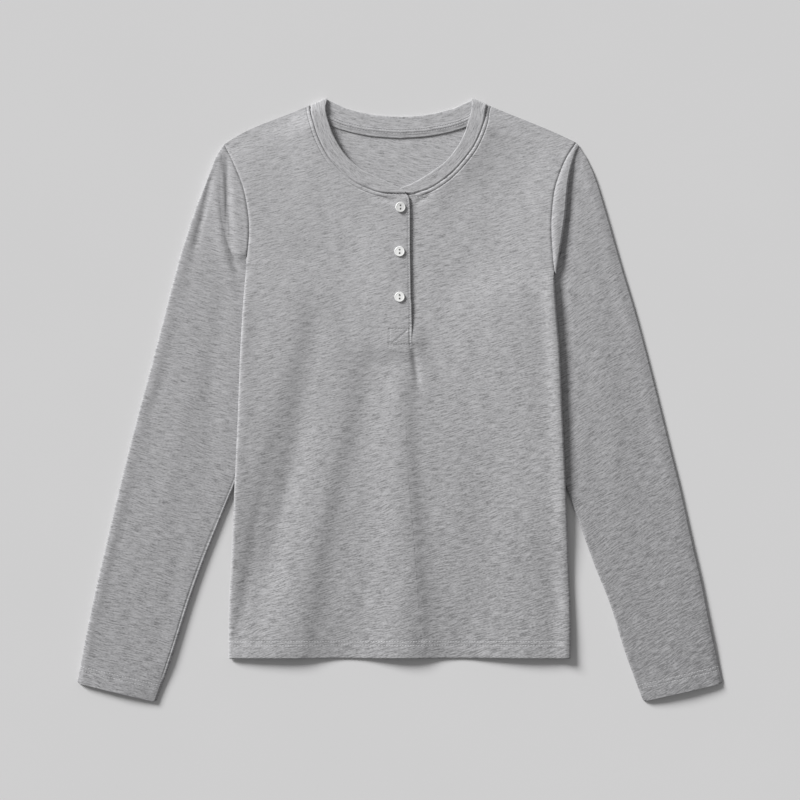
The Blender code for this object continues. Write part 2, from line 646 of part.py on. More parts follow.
def build_tape():
    """The tape covers the seam of band and back on the inside."""
    rows = [Neck(*row) for row in at_lengths_seam(BACK_NECK_CURVE, np.linspace(0.2, 1, 8))]
    line = [(LEFT, row) for row in rows] + [(RIGHT, row) for row in rows[-2::-1]]
    points = []
    for side, row in line:
        seam = np.array([side * row.outer_out, row.outer_y])
        toward = np.array([side * row.inner_out, row.inner_y]) - seam
        toward /= np.linalg.norm(toward)
        base = BAND + GAP + STRIP
        for reach, height in ((0.35, base), (0.0, base), (-0.3, base - 0.7), (-0.65, base - 0.9)):
            points.append((*(seam + toward * reach * TAPE_WIDTH), height))
    faces = grid_faces(len(line), 4)
    wall("neck_tape", np.array(points), faces, np.full(len(points), STRIP), "tape")


def build_placket(left):
    """Two strips under the lap, made from the lap's own points moved down."""
    columns = left.shape[1]
    last = slit_row()
    faces = grid_faces(left.shape[0], columns)
    normals = vertex_normals(left.reshape(-1, 3), faces).reshape(left.shape)
    normals = normals * np.sign(normals[..., 2:3])
    rows = slice(NECK_ROWS, last + 1)
    lap, out = left[rows, :4], normals[rows, :4]
    for name, drop in (("placket_top", CLOTH + GAP), ("placket_under", CLOTH + 2 * GAP + STRIP)):
        points = (lap - out * drop).reshape(-1, 3)
        points[:: lap.shape[1], 0] -= GAP
        points[: lap.shape[1], 1] -= 4 * GAP
        strip = grid_faces(lap.shape[0], lap.shape[1])
        wall(name, points, strip, np.full(len(points), STRIP))


# ---------------------------------------------------------------- buttons

def build_button(name, x, y, lean):
    """A turned disc with a rim, a dished middle and two sewing holes."""
    radius, thick = BUTTON_DIAMETER / 2, BUTTON_THICKNESS
    profile = ((radius - 0.7, 0.0), (radius, 0.6), (radius, thick - 0.6), (radius - 0.5, thick),
               (radius - BUTTON_RIM, thick), (radius - BUTTON_RIM - 0.5, thick - 0.3))
    points, faces = [], []
    for r, z in profile:
        for turn in range(ROUND_SEGMENTS):
            angle = 2 * math.pi * turn / ROUND_SEGMENTS
            points.append((r * math.cos(angle), r * math.sin(angle), z))
    rings = len(profile)
    for k in range(rings - 1):
        for turn in range(ROUND_SEGMENTS):
            a = k * ROUND_SEGMENTS + turn
            b = k * ROUND_SEGMENTS + (turn + 1) % ROUND_SEGMENTS
            faces.append((a, b, b + ROUND_SEGMENTS, a + ROUND_SEGMENTS))
    faces.append(tuple(reversed(range(ROUND_SEGMENTS))))
    faces.append(tuple(range((rings - 1) * ROUND_SEGMENTS, rings * ROUND_SEGMENTS)))
    button = add_object(name, points, faces, "pearl", 0.25)
    for way in (-1, 1):
        bpy.ops.mesh.primitive_cylinder_add(
            vertices=12, radius=BUTTON_HOLE / 2 * MM, depth=4 * thick * MM,
            location=(0, way * BUTTON_HOLE_SPACING / 2 * MM, 0))
        cutter = bpy.context.object
        cutter.name = f"cut_{name}_{'upper' if way > 0 else 'lower'}"
        cutter.hide_render = True
        cutter.display_type = "WIRE"
        cutter.parent = button
        hole = button.modifiers.new("hole", "BOOLEAN")
        hole.object = cutter
        hole.solver = "EXACT"
    around = np.linspace(0, 2 * math.pi, 24, endpoint=False)
    reach = radius * 1.1
    tops = front_top(x + reach * np.cos(around), y + reach * np.sin(around), LEFT)
    middle = float(front_top(np.array([x]), np.array([y]), LEFT)[0])
    slope = math.radians(lean)
    height = max(tops.max(), middle) + GAP + radius * math.sin(slope) * 0.6
    button.location = (x * MM, y * MM, height * MM)
    button.rotation_euler = (0.0, slope, 0.0)


def main():
    for thing in list(bpy.data.objects):
        bpy.data.objects.remove(thing, do_unlink=True)
    left, _ = build_front()
    build_back()
    build_sleeve(LEFT, "sleeve_left")
    build_sleeve(RIGHT, "sleeve_right")
    build_neckband()
    build_tape()
    build_placket(left)
    for name, (x, y, lean) in BUTTONS.items():
        build_button(name, x, y, lean)


main()
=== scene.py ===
"""A heather-grey henley shirt, laid flat on a pale surface and seen from straight above.

Working values are millimetres in the frame of the CAD model; meshes are made in metres.
"left" and "right" are as seen from above.  The cloth follows the cut tables of the CAD
model on finer grids, with creases, seams, hems and stitches added.
"""

import math
from collections import namedtuple

import bmesh
import bpy
import numpy as np
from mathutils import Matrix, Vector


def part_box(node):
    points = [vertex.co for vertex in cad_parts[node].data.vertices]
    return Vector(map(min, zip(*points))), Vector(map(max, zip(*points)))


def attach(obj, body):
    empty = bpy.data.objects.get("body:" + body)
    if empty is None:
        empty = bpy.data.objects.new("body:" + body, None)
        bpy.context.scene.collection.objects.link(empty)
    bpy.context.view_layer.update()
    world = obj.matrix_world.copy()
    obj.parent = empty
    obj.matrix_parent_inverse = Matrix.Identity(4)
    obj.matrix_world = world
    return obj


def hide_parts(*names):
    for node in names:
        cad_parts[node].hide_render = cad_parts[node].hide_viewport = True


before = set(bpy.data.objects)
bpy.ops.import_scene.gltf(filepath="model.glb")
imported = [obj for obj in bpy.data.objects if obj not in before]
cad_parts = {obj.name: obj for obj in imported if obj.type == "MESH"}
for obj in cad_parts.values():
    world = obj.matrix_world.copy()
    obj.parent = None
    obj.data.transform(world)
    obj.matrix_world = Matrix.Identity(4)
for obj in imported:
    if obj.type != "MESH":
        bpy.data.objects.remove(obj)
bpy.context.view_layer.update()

MM = 0.001

# Sizes shared with the CAD model
CLOTH = 1.2
STRIP = 1.0
CUFF_FALL = 3.2
BAND = 2.2
GAP = 0.3
HEM_Y = -289.0
LIFT = 5.2
LOOSE = 1.1
TUCK_MARGIN = 8.0
LAP_RISE = 2.6
LAP_RUN = 52.0
PLACKET_WIDTH = 24.0
SLIT_END_Y = 62.7
TAPE_WIDTH = 10.0
BUTTON_DIAMETER = 11.4
BUTTON_THICKNESS = 1.9
BUTTON_HOLE = 2.2
BUTTON_HOLE_SPACING = 3.9
BUTTON_DISH = 0.16

# Sizes of the finish
JERSEY = 0.9  # the wall of one layer as it shows at an edge
NEEDLES = (14.8, 19.0)  # the twin needle lines above a hem's edge
TAPE_ROWS = (0.27, -0.08)  # the tape's stitched rows, in widths above the seam
STITCH = 3.0
THREAD = 0.3
HEM_TOUCHES = (-60.0, 66.0)  # where the front's hem lies down on the back

LEFT, RIGHT = -1, 1
Station = namedtuple("Station", "out y")
Neck = namedtuple("Neck", "inner_out inner_y outer_out outer_y top")
Ring = namedtuple("Ring", "outer_out outer_y inner_out inner_y bow top")
Fold = namedtuple("Fold", "x y rise left right")


def rows_of(kind, *rows):
    """Table rows of one kind, each with its named columns."""
    return tuple(kind(*row) for row in rows)


ARMHOLE = {  # shoulder tip to armpit
    LEFT: rows_of(Station, (197, 286), (187, 266.4), (175.8, 238.6), (170.2, 211),
        (168.7, 187), (171.4, 154.6)),
    RIGHT: rows_of(Station, (197, 288), (184.8, 268.5), (174, 240), (170, 213),
        (169.1, 187), (171.6, 146)),
}
SEAM_TOP = {  # height of the armhole seam along the same stations
    LEFT: (2.9, 4.6, 5.8, 6.5, 7.2, 8.3),
    RIGHT: (2.9, 4.9, 6.3, 7.1, 7.6, 8.3),
}
SIDE = {  # armpit to hem
    LEFT: rows_of(Station, (171.4, 154.6), (175.2, 110), (178.8, 50), (181.4, -20),
        (185, -98), (188, -170), (191.2, -235), (191.6, HEM_Y)),
    RIGHT: rows_of(Station, (171.6, 146), (174.6, 100), (178.5, 50), (181.6, -20),
        (185.2, -98), (188.6, -180), (190.8, -235), (190.6, HEM_Y)),
}
CREST = {  # the sleeve's fold beside the armhole seam
    LEFT: rows_of(Station, (199.6, 283.2), (197, 263), (195, 235), (191, 198),
        (184.5, 168), (173.2, 152)),
    RIGHT: rows_of(Station, (198.8, 286), (193.2, 273), (187.2, 250), (184.4, 226),
        (182.4, 203), (173.6, 143.6)),
}
FOOT_RUN = {LEFT: 7, RIGHT: 2.6}  # soft on the left, a sharp pleat on the right
FOOT_TOP = {LEFT: 5.3, RIGHT: 2.6}
TIP_FOOT = {LEFT: (4.6, -10.4), RIGHT: (0.6, -1)}  # how the sleeve's head is rounded off
TIP_CREST = {LEFT: (0.8, -1.4), RIGHT: (0, 0)}
END_FOOT = {LEFT: (-6, -6.5), RIGHT: (0.6, -2.6)}  # where the armpit's end tucks under
END_CREST = {LEFT: (-3, -4.5), RIGHT: (0.3, -2.6)}
CREST_RISE = {LEFT: 0.2, RIGHT: 2.4}  # the crest's height over the armhole seam
TUCK = {  # the sleeve's inner fold, where it lies hidden under the body
    LEFT: rows_of(Station, (171.4, 154.6), (169.5, 145), (152, 126), (132, 104),
        (124, 66), (143, 12), (163, -37), (180.5, -84), (186.5, -98.6)),
    RIGHT: rows_of(Station, (171.6, 146), (169.5, 137), (152, 118), (132, 98),
        (124, 64), (143, 12), (163, -37), (180.5, -84), (186.5, -98.6)),
}
SLEEVE = {  # cuff to shoulder: both fold points, share of the armhole's bow, height
    LEFT: rows_of(Ring, (361.4, -316.6, 272.7, -337.8, 0, 6.8),
        (351, -262, 253.8, -285, 0, 5.4), (338.2, -201.6, 235.3, -226, 0, 4.8),
        (326.2, -150, 218.3, -178, 0, 4.6), (314.6, -100.8, 199.5, -131, 0, 4.4),
        (301.9, -50, 180.5, -84, 0, 4.2), (289.4, -2.2, 163, -37, 0, 4.1),
        (275.8, 48, 143, 12, 0, 4.1), (261, 105.3, 124, 66, 0, 4.1),
        (245.3, 163.5, 132, 104, 0.05, 4.1), (229.5, 212, 152, 126, 0.20, 4.6),
        (216, 246.5, 166, 141, 0.60, 5.1)),
    RIGHT: rows_of(Ring, (361.4, -316.6, 272.2, -337.1, 0, 6.8),
        (348.8, -260, 252.5, -284, 0, 5.4), (337.6, -204, 235, -228, 0, 4.8),
        (325.6, -152, 217, -183, 0, 4.6), (313.8, -99, 198.3, -131, 0, 4.3),
        (302.8, -55, 180.5, -84, 0, 4.1), (291.2, -8, 163, -37, 0, 4),
        (277.8, 45, 143, 12, 0, 4), (263, 99.7, 124, 64, 0, 4),
        (247.2, 152, 132, 98, 0.05, 4), (232.6, 203, 152, 118, 0.20, 4),
        (219, 247.5, 166, 133, 0.60, 3.9), (208.6, 271.5, 172, 139, 0.85, 3.4)),
}
FRONT_NECK = {  # shoulder to placket: the band's folded edge, its seam, its height
    LEFT: rows_of(Neck, (82, 337.6, 100.4, 329.9, 5.4), (83.2, 325.5, 99.7, 322, 7.4),
        (80.3, 312, 97, 311.5, 7.9), (74.7, 296.6, 91.5, 294.5, 7.8),
        (66, 281, 82, 275.5, 7.4), (55.8, 268.6, 70.3, 260.5, 7),
        (42.8, 258, 53, 245.2, 6.7), (27.5, 250.5, 34.5, 236, 6.5),
        (12.5, 243.2, 18, 231.4, 6.6), (-4.5, 234.4, -6.5, 230.6, 6.7)),
    RIGHT: rows_of(Neck, (80.6, 337.5, 97.6, 330.3, 5), (80, 325, 95.6, 323.2, 6.3),
        (76.9, 314, 94.1, 312, 6.5), (72.2, 298.8, 89, 297, 6.4),
        (64.5, 284, 80.5, 280.5, 6.2), (52, 268.1, 66.5, 262.8, 5.9),
        (39, 258, 51.5, 248.5, 5.5), (24, 248.1, 33.5, 237, 4.8),
        (10, 240.8, 14, 230.2, 4.1)),
}
BAND_END = Neck(-4, 235.8, -4.5, 231.8, 3.9)  # the right end, tucked under the left
BACK_NECK = rows_of(  # shoulder to middle; the other half mirrors it
    Neck, (81.4, 336.4, 99.6, 328.4, BAND), (71, 331.3, 83, 317.5, BAND),
    (57, 325.6, 64.5, 308.8, BAND), (30, 319.6, 33, 301.8, BAND),
    (0, 317.2, 0, 299.2, BAND))
PLACKET_EDGE = rows_of(Station, (6.6, 231), (11, 220.6), (11.5, 169), (12.3, 118),
    (13, SLIT_END_Y), (9, HEM_Y))
NECK_SPREAD = {LEFT: 32, RIGHT: 22}  # how far from the seam the band's height is felt
NECK_GROOVE = {LEFT: 1.5, RIGHT: 0.9}
SLEEVE_GROOVE = {LEFT: 0.9, RIGHT: 0.6}
SIDE_ROUND = {LEFT: (3.0, 2.4), RIGHT: (2.0, 1.6)}  # the side's rounded edge: radius and fall
ARMPIT_SINK = {LEFT: 3.1, RIGHT: 1.0}  # how far the sleeve's seam sinks at the armpit
STRIP_POWER = {LEFT: 1, RIGHT: 2.5}  # how late the strip beside the seam falls to it
SHOULDER_BOW = {LEFT: 3.4, RIGHT: 1.2}  # how far the shoulder's edge bows up
SIDE_ROLL = {LEFT: 0.7, RIGHT: 2.6}  # how far the side's fold stands up along its edge
FOLDS = (  # crest lines of the front's soft folds, from the top down
    rows_of(Fold, (-40, 130, 0, 26, 24), (-66, 50, 0.9, 30, 26), (-92, -90, 2.2, 36, 34),
            (-112, -190, 3.5, 48, 44), (-132, HEM_Y, 4.9, 62, 60)),
    rows_of(Fold, (2, 48, 0, 24, 20), (-8, 0, 1.1, 28, 24), (-8, -90, 2.1, 34, 32),
            (0, -190, 3.4, 44, 42), (2, HEM_Y, 5, 50, 48)),
    rows_of(Fold, (120, -60, 0, 50, 50), (138, -190, 1.7, 60, 60), (148, HEM_Y, 4.4, 74, 90)),
)
BUTTONS = {  # placed down the placket: height on the front, lean to the right in degrees
    "button_top": (0.4, 215.5, 9),
    "button_middle": (-0.4, 166, 0),
    "button_bottom": (-0.4, 115.2, 0),
}

# Creases that the CAD model leaves out: the line, its height at the middle and its widths
# to the left and right of the line's direction.  A negative height is a trough.
Crease = namedtuple("Crease", "points height left right")
FRONT_CREASES = rows_of(
    Crease,
    (((-32, 229), (-16, 224), (-9, 221.8), (-3, 221.6)), -1.7, 3, 2.4),
    (((16, 219.6), (25, 224), (36, 232)), -1.7, 3.4, 2.6),
    (((13.6, 66), (15.4, 50), (18.4, 32), (20, 14)), -1.8, 6, 4.4),
    (((-150, 232), (-128, 196), (-112, 150)), 0.5, 16, 14),
    (((150, 236), (128, 200), (116, 152)), 0.4, 16, 18),
    (((-160, 150), (-132, 118), (-118, 84)), 0.3, 20, 20),
    (((158, 142), (136, 112), (124, 70)), 0.2, 22, 22),
    (((60, 40), (66, -40), (64, -130), (72, -230)), 0.5, 26, 20),
    (((-30, 60), (-40, -20), (-52, -110)), -0.4, 14, 16),
    (((104, -20), (100, -110), (106, -200)), -0.5, 20, 22),
    (((-136, -20), (-158, -120), (-168, -180), (-178, -235), (-188, -300)), -1.4, 12, 7),
    (((-92, 120), (-104, 40), (-122, -60), (-146, -180), (-168, -300)), -2.4, 20, 20),
    (((-30, 120), (-50, 30), (-72, -70), (-96, -190), (-112, -330)), 1.4, 14, 20),
    (((5, 64), (6, 0), (9, -80), (18, -190), (28, -330)), 1.9, 13, 22))
SLEEVE_CREASES = {
    LEFT: rows_of(
        Crease,
        (((-194, 290), (-193.8, 262), (-193.4, 235), (-192.6, 208), (-189, 180), (-182, 140)), -2.7, 6,
         4.4),
        (((-206, 250), (-204, 215), (-200, 185), (-192, 150), (-186, 120)), 1.7, 5, 9),
        (((-208, 268), (-212, 246), (-220, 210), (-227, 180), (-231, 160)), -2.2, 4, 5),
        (((-214, 250), (-223, 211), (-233, 163), (-251, 100), (-269, 16), (-297, -66), (-314, -158),
         (-325, -209)), -0.9, 8, 11),
        (((-190, 168), (-203, 94), (-209, 52), (-213, -9), (-214, -55), (-223, -101)), -0.9, 14, 12),
        (((-236, 60), (-244, -20), (-262, -110), (-282, -200)), 0.7, 18, 20),
        (((-246, -170), (-262, -236), (-276, -300)), -0.5, 14, 12)),
    RIGHT: rows_of(
        Crease,
        (((206, 190), (212, 120), (226, 40), (238, -60), (244, -150), (262, -220)), 0.9, 20, 14),
        (((232, 160), (252, 90), (270, 0), (290, -90), (312, -190)), -0.6, 16, 18),
        (((300, -150), (312, -220), (318, -290)), 0.6, 16, 16),
        (((200, 284), (201.5, 270), (202, 256)), -1.2, 3, 3),
        (((186, 250), (182, 190), (180, 130), (183, 80), (187, 10), (191, -60), (196, -120)), -2, 10,
         7)),
}

# Grid density
NECK_ROWS = 60
NECK_ROWS_END_Y = 205.0
BOX_TOP_Y = 82.0
LAP_ROWS, BOX_ROWS = 56, 30
LOWER_ROWS = [(SLIT_END_Y, BOX_ROWS), (-230.0, 84), (-266.0, 14), (-276.0, 14), (-286.5, 6),
              (HEM_Y, 6)]
COLUMNS = np.concatenate([
    np.linspace(0, 0.06, 20)[:-1], np.linspace(0.06, 0.155, 20)[:-1],
    np.linspace(0.155, 0.965, 43)[:-1], np.linspace(0.965, 1, 8)])
BACK_COLUMNS = np.concatenate([np.linspace(0, 0.95, 44)[:-1], np.linspace(0.95, 1, 5)])


# ---- curves and heights

def smooth_curve(points, samples=10):
    """A Catmull-Rom curve through the points, as a dense polyline."""
    points = np.array(points, float)
    ends = [2 * points[0] - points[1]], [2 * points[-1] - points[-2]]
    points = np.concatenate([ends[0], points, ends[1]])
    run = []
    for a, b, c, d in zip(points, points[1:], points[2:], points[3:]):
        for t in np.arange(samples) / samples:
            run.append(0.5 * (2 * b + (c - a) * t + (2 * a - 5 * b + 4 * c - d) * t**2
                              + (3 * b - a - 3 * c + d) * t**3))
    run.append(points[-2])
    return np.array(run)


def run_length(line):
    """How far along the line each of its points is."""
    return np.concatenate([[0.0], np.cumsum(np.linalg.norm(np.diff(line, axis=0), axis=1))])


def at_lengths(curve, fractions, measured=slice(0, 2)):
    """Points at fractions of the curve's length, measured over the given columns."""
    run = run_length(curve[:, measured])
    return np.stack([np.interp(fractions, run / run[-1], column) for column in curve.T], axis=1)


def unit(vectors):
    return vectors / np.linalg.norm(vectors, axis=-1, keepdims=True)


def bell(value, width):
    """A soft bump: 1 at zero, falling away over the width."""
    return np.exp(-(value / width) ** 2)


def out_at(curve, y):
    """How far out a curve that runs down the shirt is at each y."""
    return np.interp(y, curve[::-1, 1], curve[::-1, 0])


def groove(away, depth, width):
    return -depth * bell(away, width)


def ease(start, end, value):
    """A smooth step from 0 at start to 1 at end."""
    t = np.clip((value - start) / (end - start), 0.0, 1.0)
    return t * t * (3 - 2 * t)


def nearest(curve, x, y):
    """Distance to the nearest point of a dense curve, and that point's index."""
    flat = np.stack([x.ravel(), y.ravel()], axis=1)
    away = np.empty(len(flat))
    place = np.empty(len(flat), int)
    for start in range(0, len(flat), 4000):
        part = flat[start:start + 4000]
        apart = np.hypot(part[:, :1] - curve[:, 0], part[:, 1:] - curve[:, 1])
        place[start:start + 4000] = apart.argmin(axis=1)
        away[start:start + 4000] = apart.min(axis=1)
    return away.reshape(x.shape), place.reshape(x.shape)


def sided(curve, side):
    """A curve given outward from the middle, placed on its side."""
    return curve * np.array([side] + [1] * (curve.shape[1] - 1))


SIDES = (LEFT, RIGHT)
ARMPIT = {side: ARMHOLE[side][-1].y for side in SIDES}
ARMHOLE_CURVE = {side: smooth_curve([(*p, z) for p, z in zip(ARMHOLE[side], SEAM_TOP[side])], 24)
                 for side in SIDES}
SIDE_CURVE = {side: smooth_curve(SIDE[side]) for side in SIDES}
TUCK_CURVE = {side: smooth_curve(TUCK[side]) for side in SIDES}
NECK_CURVE = {side: smooth_curve(FRONT_NECK[side], 16) for side in SIDES}
ARMHOLE_SEAM = {side: sided(ARMHOLE_CURVE[side], side) for side in SIDES}
NECK_SEAM = {side: sided(NECK_CURVE[side][:, 2:], side) for side in SIDES}
BACK_NECK_CURVE = smooth_curve(BACK_NECK, 16)
PLACKET_CURVE = smooth_curve(PLACKET_EDGE)


def shoulder_bow(share, side):
    """How far the shoulder's edge bows up at shares of its run from neck to sleeve."""
    return SHOULDER_BOW[side] * np.sin(math.pi * share ** 1.8)


def tuck_lift(x, y, side, run, along, late=0):
    """How far the sleeve tucked underneath lifts a panel, which slopes over the run."""
    curve = TUCK_CURVE[side]
    tuck = np.minimum(out_at(curve, y), out_at(curve, y - 2 * TUCK_MARGIN)) - TUCK_MARGIN
    down = ease(ARMPIT[side] + run + 4, ARMPIT[side] - 2 - 3 * late, y) * ease(along, -104, y)
    return LIFT * ease(tuck - run, tuck + late, np.abs(x)) * down


def back_bottom(x, y, side):
    return tuck_lift(x, y, side, 20, -160)


def fold_height(x, y):
    """The front's soft folds: each falls away smoothly on both sides of its crest."""
    total = np.zeros_like(x)
    for crest in FOLDS:
        rows = np.array(crest)[::-1]
        middle, rise, left, right = (np.interp(y, rows[:, 1], rows[:, k]) for k in (0, 2, 3, 4))
        width = np.where(x < middle, left, right)
        away = np.clip(np.abs(x - middle) / width, 0.0, 1.0)
        total += rise * (0.5 + 0.5 * np.cos(math.pi * away))
    return total


def lap_height(x, y, side):
    """The lap stands on the two placket strips and eases down past the slit's end."""
    edge = out_at(PLACKET_CURVE, y)
    down = ease(38, SLIT_END_Y - 1, y)
    if side == LEFT:
        return LAP_RISE * down * ease(edge - PLACKET_WIDTH - LAP_RUN, edge - PLACKET_WIDTH, x)
    return LAP_RISE * down * bell(x - edge, 11) * (y <= SLIT_END_Y + 0.5)


def waves(x, y, seed, shortest, longest, count=14):
    """Soft uneven relief between -1 and 1: a seeded sum of plane waves."""
    dice = np.random.default_rng(seed)
    total = np.zeros_like(x)
    for _ in range(count):
        length = math.exp(dice.uniform(math.log(shortest), math.log(longest)))
        way = dice.uniform(0, math.pi)
        total += np.sin(2 * math.pi * (x * math.cos(way) + y * math.sin(way)) / length
                        + dice.uniform(0, 2 * math.pi))
    return total / math.sqrt(count / 2) / 2


def crease_height(x, y, creases):
    """Height of the creases at each point, each fading out at its ends and its sides."""
    total = np.zeros_like(x)
    for crease in creases:
        line = smooth_curve(crease.points, 8)
        away, place = nearest(line, x, y)
        toward = np.gradient(line, axis=0)
        across = (toward[place, 0] * (y - line[place, 1])
                  - toward[place, 1] * (x - line[place, 0]))
        width = np.where(across > 0, crease.left, crease.right)
        along = place / (len(line) - 1)
        fade = np.sin(math.pi * np.clip(along, 0.02, 0.98)) ** 0.7
        total += crease.height * fade * np.exp(-(away / width) ** 2 * 1.6)
    return total


def front_top(x, y, side):
    """Height of the front's outer face, as in the CAD model."""
    height = 2 * CLOTH + GAP + LOOSE + tuck_lift(x, y, side, 90, -215, 12)
    height = height + 0.1 * ease(HEM_Y + 45, HEM_Y + 18, y) + fold_height(x, y)
    seam, neck = ARMHOLE_SEAM[side], NECK_SEAM[side]
    away, place = nearest(seam, x, y)
    height += (seam[place, 2] - height) * bell(away, 26)
    inside = out_at(SIDE_CURVE[side], y) - np.abs(x)
    rolled = bell(inside - 5, 8) * ease(ARMPIT[side] + 2, ARMPIT[side] - 18, y)
    height = height + SIDE_ROLL[side] * rolled + lap_height(x, y, side)
    away, place = nearest(neck, x, y)
    height += (neck[place, 2] - height) * bell(away, NECK_SPREAD[side])
    along = np.linspace(0, 1, 40)
    shoulder = neck[0, :2] + along[:, None] * (seam[0, :2] - neck[0, :2])
    shoulder[:, 1] += shoulder_bow(along, side)
    away, _ = nearest(shoulder, x, y)
    flat = 2 * CLOTH + GAP + 0.1
    return flat + (height - flat) * ease(-4, 26, away)


def front_surface(x, y, side):
    """The front's outer face with its creases, seam grooves and rounded edges."""
    height = front_top(x, y, side) + crease_height(x, y, FRONT_CREASES)
    height += 0.16 * waves(x, y, 5, 22, 70) * ease(0, 14, y - HEM_Y)
    if side == RIGHT:  # the lap stands clear of the cloth beside it, and is sewn to it below
        sewn = 0.2 + 0.8 * ease(112, 80, y)
        from_lap = bell(x - out_at(PLACKET_CURVE, y), 12)
        height -= 0.5 * (1 - sewn) * ease(228, 206, y) * from_lap
        height += LAP_RISE * from_lap * ease(96, 64, y) * (y > SLIT_END_Y + 0.5)
    up = y - HEM_Y
    for touch in HEM_TOUCHES:
        height -= 1.5 * bell(x - touch, 20) * bell(up, 42)
    height += 2.4 * bell(x + 172, 20) * bell(up, 40)
    armhole, _ = nearest(ARMHOLE_SEAM[side], x, y)
    height += groove(armhole, 0.9, 0.9) + 0.12 * bell(armhole - 3.2, 1.8)
    neck, _ = nearest(NECK_SEAM[side], x, y)
    height += groove(neck, NECK_GROOVE[side], 0.8) + 0.12 * bell(neck - 2.2, 0.9)
    height += groove(neck - 4.4, 0.6, 0.6)
    for needle in NEEDLES:
        height += groove(up - needle, 0.25, 0.7)
    pucker = waves(x, y * 0.25, 9, 5, 14)
    height += 0.16 * pucker * bell(up - NEEDLES[0] + 2, 9)
    height -= 0.8 * rounded(up / 1.4)
    if side == LEFT:
        height += placket_relief(x, y)
    edge = out_at(SIDE_CURVE[side], y) - np.abs(x)
    below = ease(ARMPIT[side], ARMPIT[side] - 16, y)
    under = back_bottom(x, y, side) + CLOTH + 0.4
    radius, fall = SIDE_ROUND[side]
    height -= below * rounded(edge / radius) * np.clip(height - under - JERSEY, 0, fall)
    return height


def rounded(share):
    """The fall of a rounded edge: 1 at the edge itself and 0 from its radius inward."""
    return 1 - np.sqrt(1 - np.clip(1 - share, 0, 1) ** 2)


def placket_relief(x, y):
    """Topstitching beside the lap's edge, the stitched box with its diagonal, the rolled edge."""
    edge = out_at(PLACKET_CURVE, y)
    from_edge = edge - x
    slit = ease(SLIT_END_Y - 1, SLIT_END_Y + 1, y)
    height = groove(from_edge - 2.6, 0.35, 0.7) * slit
    height -= 0.5 * slit * ease(80, 100, y) * rounded(from_edge / 1.2)
    for line in box_lines():
        away, _ = nearest(np.linspace(line[0], line[1], 60), x, y)
        height += groove(away, 0.45, 0.7)
    return height


def box_lines():
    """The stitched box at the placket's foot and its diagonal."""
    left, right, low, high = -12.2, 10.4, SLIT_END_Y, 79.4
    corners = [(left, high), (left, low), (right + 1.0, low), (right, high)]
    diagonal = (left + 3, low + 0.6), (right - 2.4, high - 1.6)
    return np.array([*zip(corners, corners[1:] + corners[:1]), diagonal], float)


# ---- meshes

def placed_object(name, data):
    made = bpy.data.objects.new(name, data)
    bpy.context.scene.collection.objects.link(made)
    return made


def finish_mesh(name, points, faces, material, grain=None):
    """A mesh object in the row frame that rides on the shirt, from points in millimetres."""
    mesh = bpy.data.meshes.new(name)
    points = np.array(points, float)
    points[:, 2] = np.maximum(points[:, 2], 0.0)
    mesh.from_pydata((points * MM).tolist(), [], [list(f) for f in faces])
    shape = bmesh.new()
    shape.from_mesh(mesh)
    bmesh.ops.recalc_face_normals(shape, faces=shape.faces)
    if shape.calc_volume(signed=True) < 0:
        bmesh.ops.reverse_faces(shape, faces=shape.faces)
    shape.to_mesh(mesh)
    shape.free()
    mesh.shade_smooth()
    mesh.set_sharp_from_angle(angle=math.radians(50))
    if grain is not None:
        corners = np.empty(len(mesh.loops), np.int32)
        mesh.loops.foreach_get("vertex_index", corners)
        spots = (np.asarray(grain)[corners] * MM * 10).astype(np.float32)
        mesh.uv_layers.new(name="grain").uv.foreach_set("vector", spots.ravel())
    mesh.materials.append(material)
    piece = placed_object(name, mesh)
    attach(piece, "root")
    return piece


def grid_faces(rows, columns, first=0):
    r, c = np.meshgrid(np.arange(rows - 1), np.arange(columns - 1), indexing="ij")
    a = (first + r * columns + c).ravel()
    return np.stack([a, a + 1, a + columns + 1, a + columns], axis=1)


def tube_faces(rows, around, first=0):
    """The faces of a tube, between rings that follow each other in the points."""
    columns = np.arange(around)
    ring = first + np.arange(rows - 1)[:, None] * around
    a, b = ring + columns, ring + (columns + 1) % around
    return np.stack([a, b, b + around, a + around], axis=-1).reshape(-1, 4)


def vertex_normals(points, faces):
    normals = np.zeros_like(points)
    a, b, c, d = (points[faces[:, k]] for k in range(4))
    turned = np.cross(c - a, d - b)
    for k in range(4):
        np.add.at(normals, faces[:, k], turned)
    return normals / np.maximum(np.linalg.norm(normals, axis=1, keepdims=True), 1e-9)


def wall(name, points, faces, thickness, material, grain):
    """A closed wall: an outer sheet, its points moved in by the thickness, and its edges."""
    inner = points - vertex_normals(points, faces) * thickness
    count = len(points)
    edges = np.concatenate([faces[:, [k, (k + 1) % 4]] for k in range(4)])
    codes = edges[:, 0].astype(np.int64) * count + edges[:, 1]
    backward = edges[:, 1].astype(np.int64) * count + edges[:, 0]
    rim = edges[~np.isin(codes, backward)]
    rims = np.stack([rim[:, 1], rim[:, 0], rim[:, 0] + count, rim[:, 1] + count], axis=1)
    both = np.concatenate([faces, faces[:, ::-1] + count, rims])
    used, renamed = np.unique(both, return_inverse=True)
    every = np.concatenate([points, inner])[used]
    return finish_mesh(name, every, renamed.reshape(both.shape).tolist(), material,
                       np.concatenate([grain, grain])[used])


# ---- materials

def add_node(tree, kind, inputs=(), **settings):
    """A node with its settings, and values or links on its inputs."""
    node = tree.nodes.new(kind)
    for key, value in settings.items():
        setattr(node, key, value)
    for socket, value in dict(inputs).items():
        if isinstance(value, bpy.types.NodeSocket):
            tree.links.new(value, node.inputs[socket])
        else:
            node.inputs[socket].default_value = value
    return node


def math_node(tree, operation, *values):
    return add_node(tree, "ShaderNodeMath", enumerate(values), operation=operation).outputs[0]


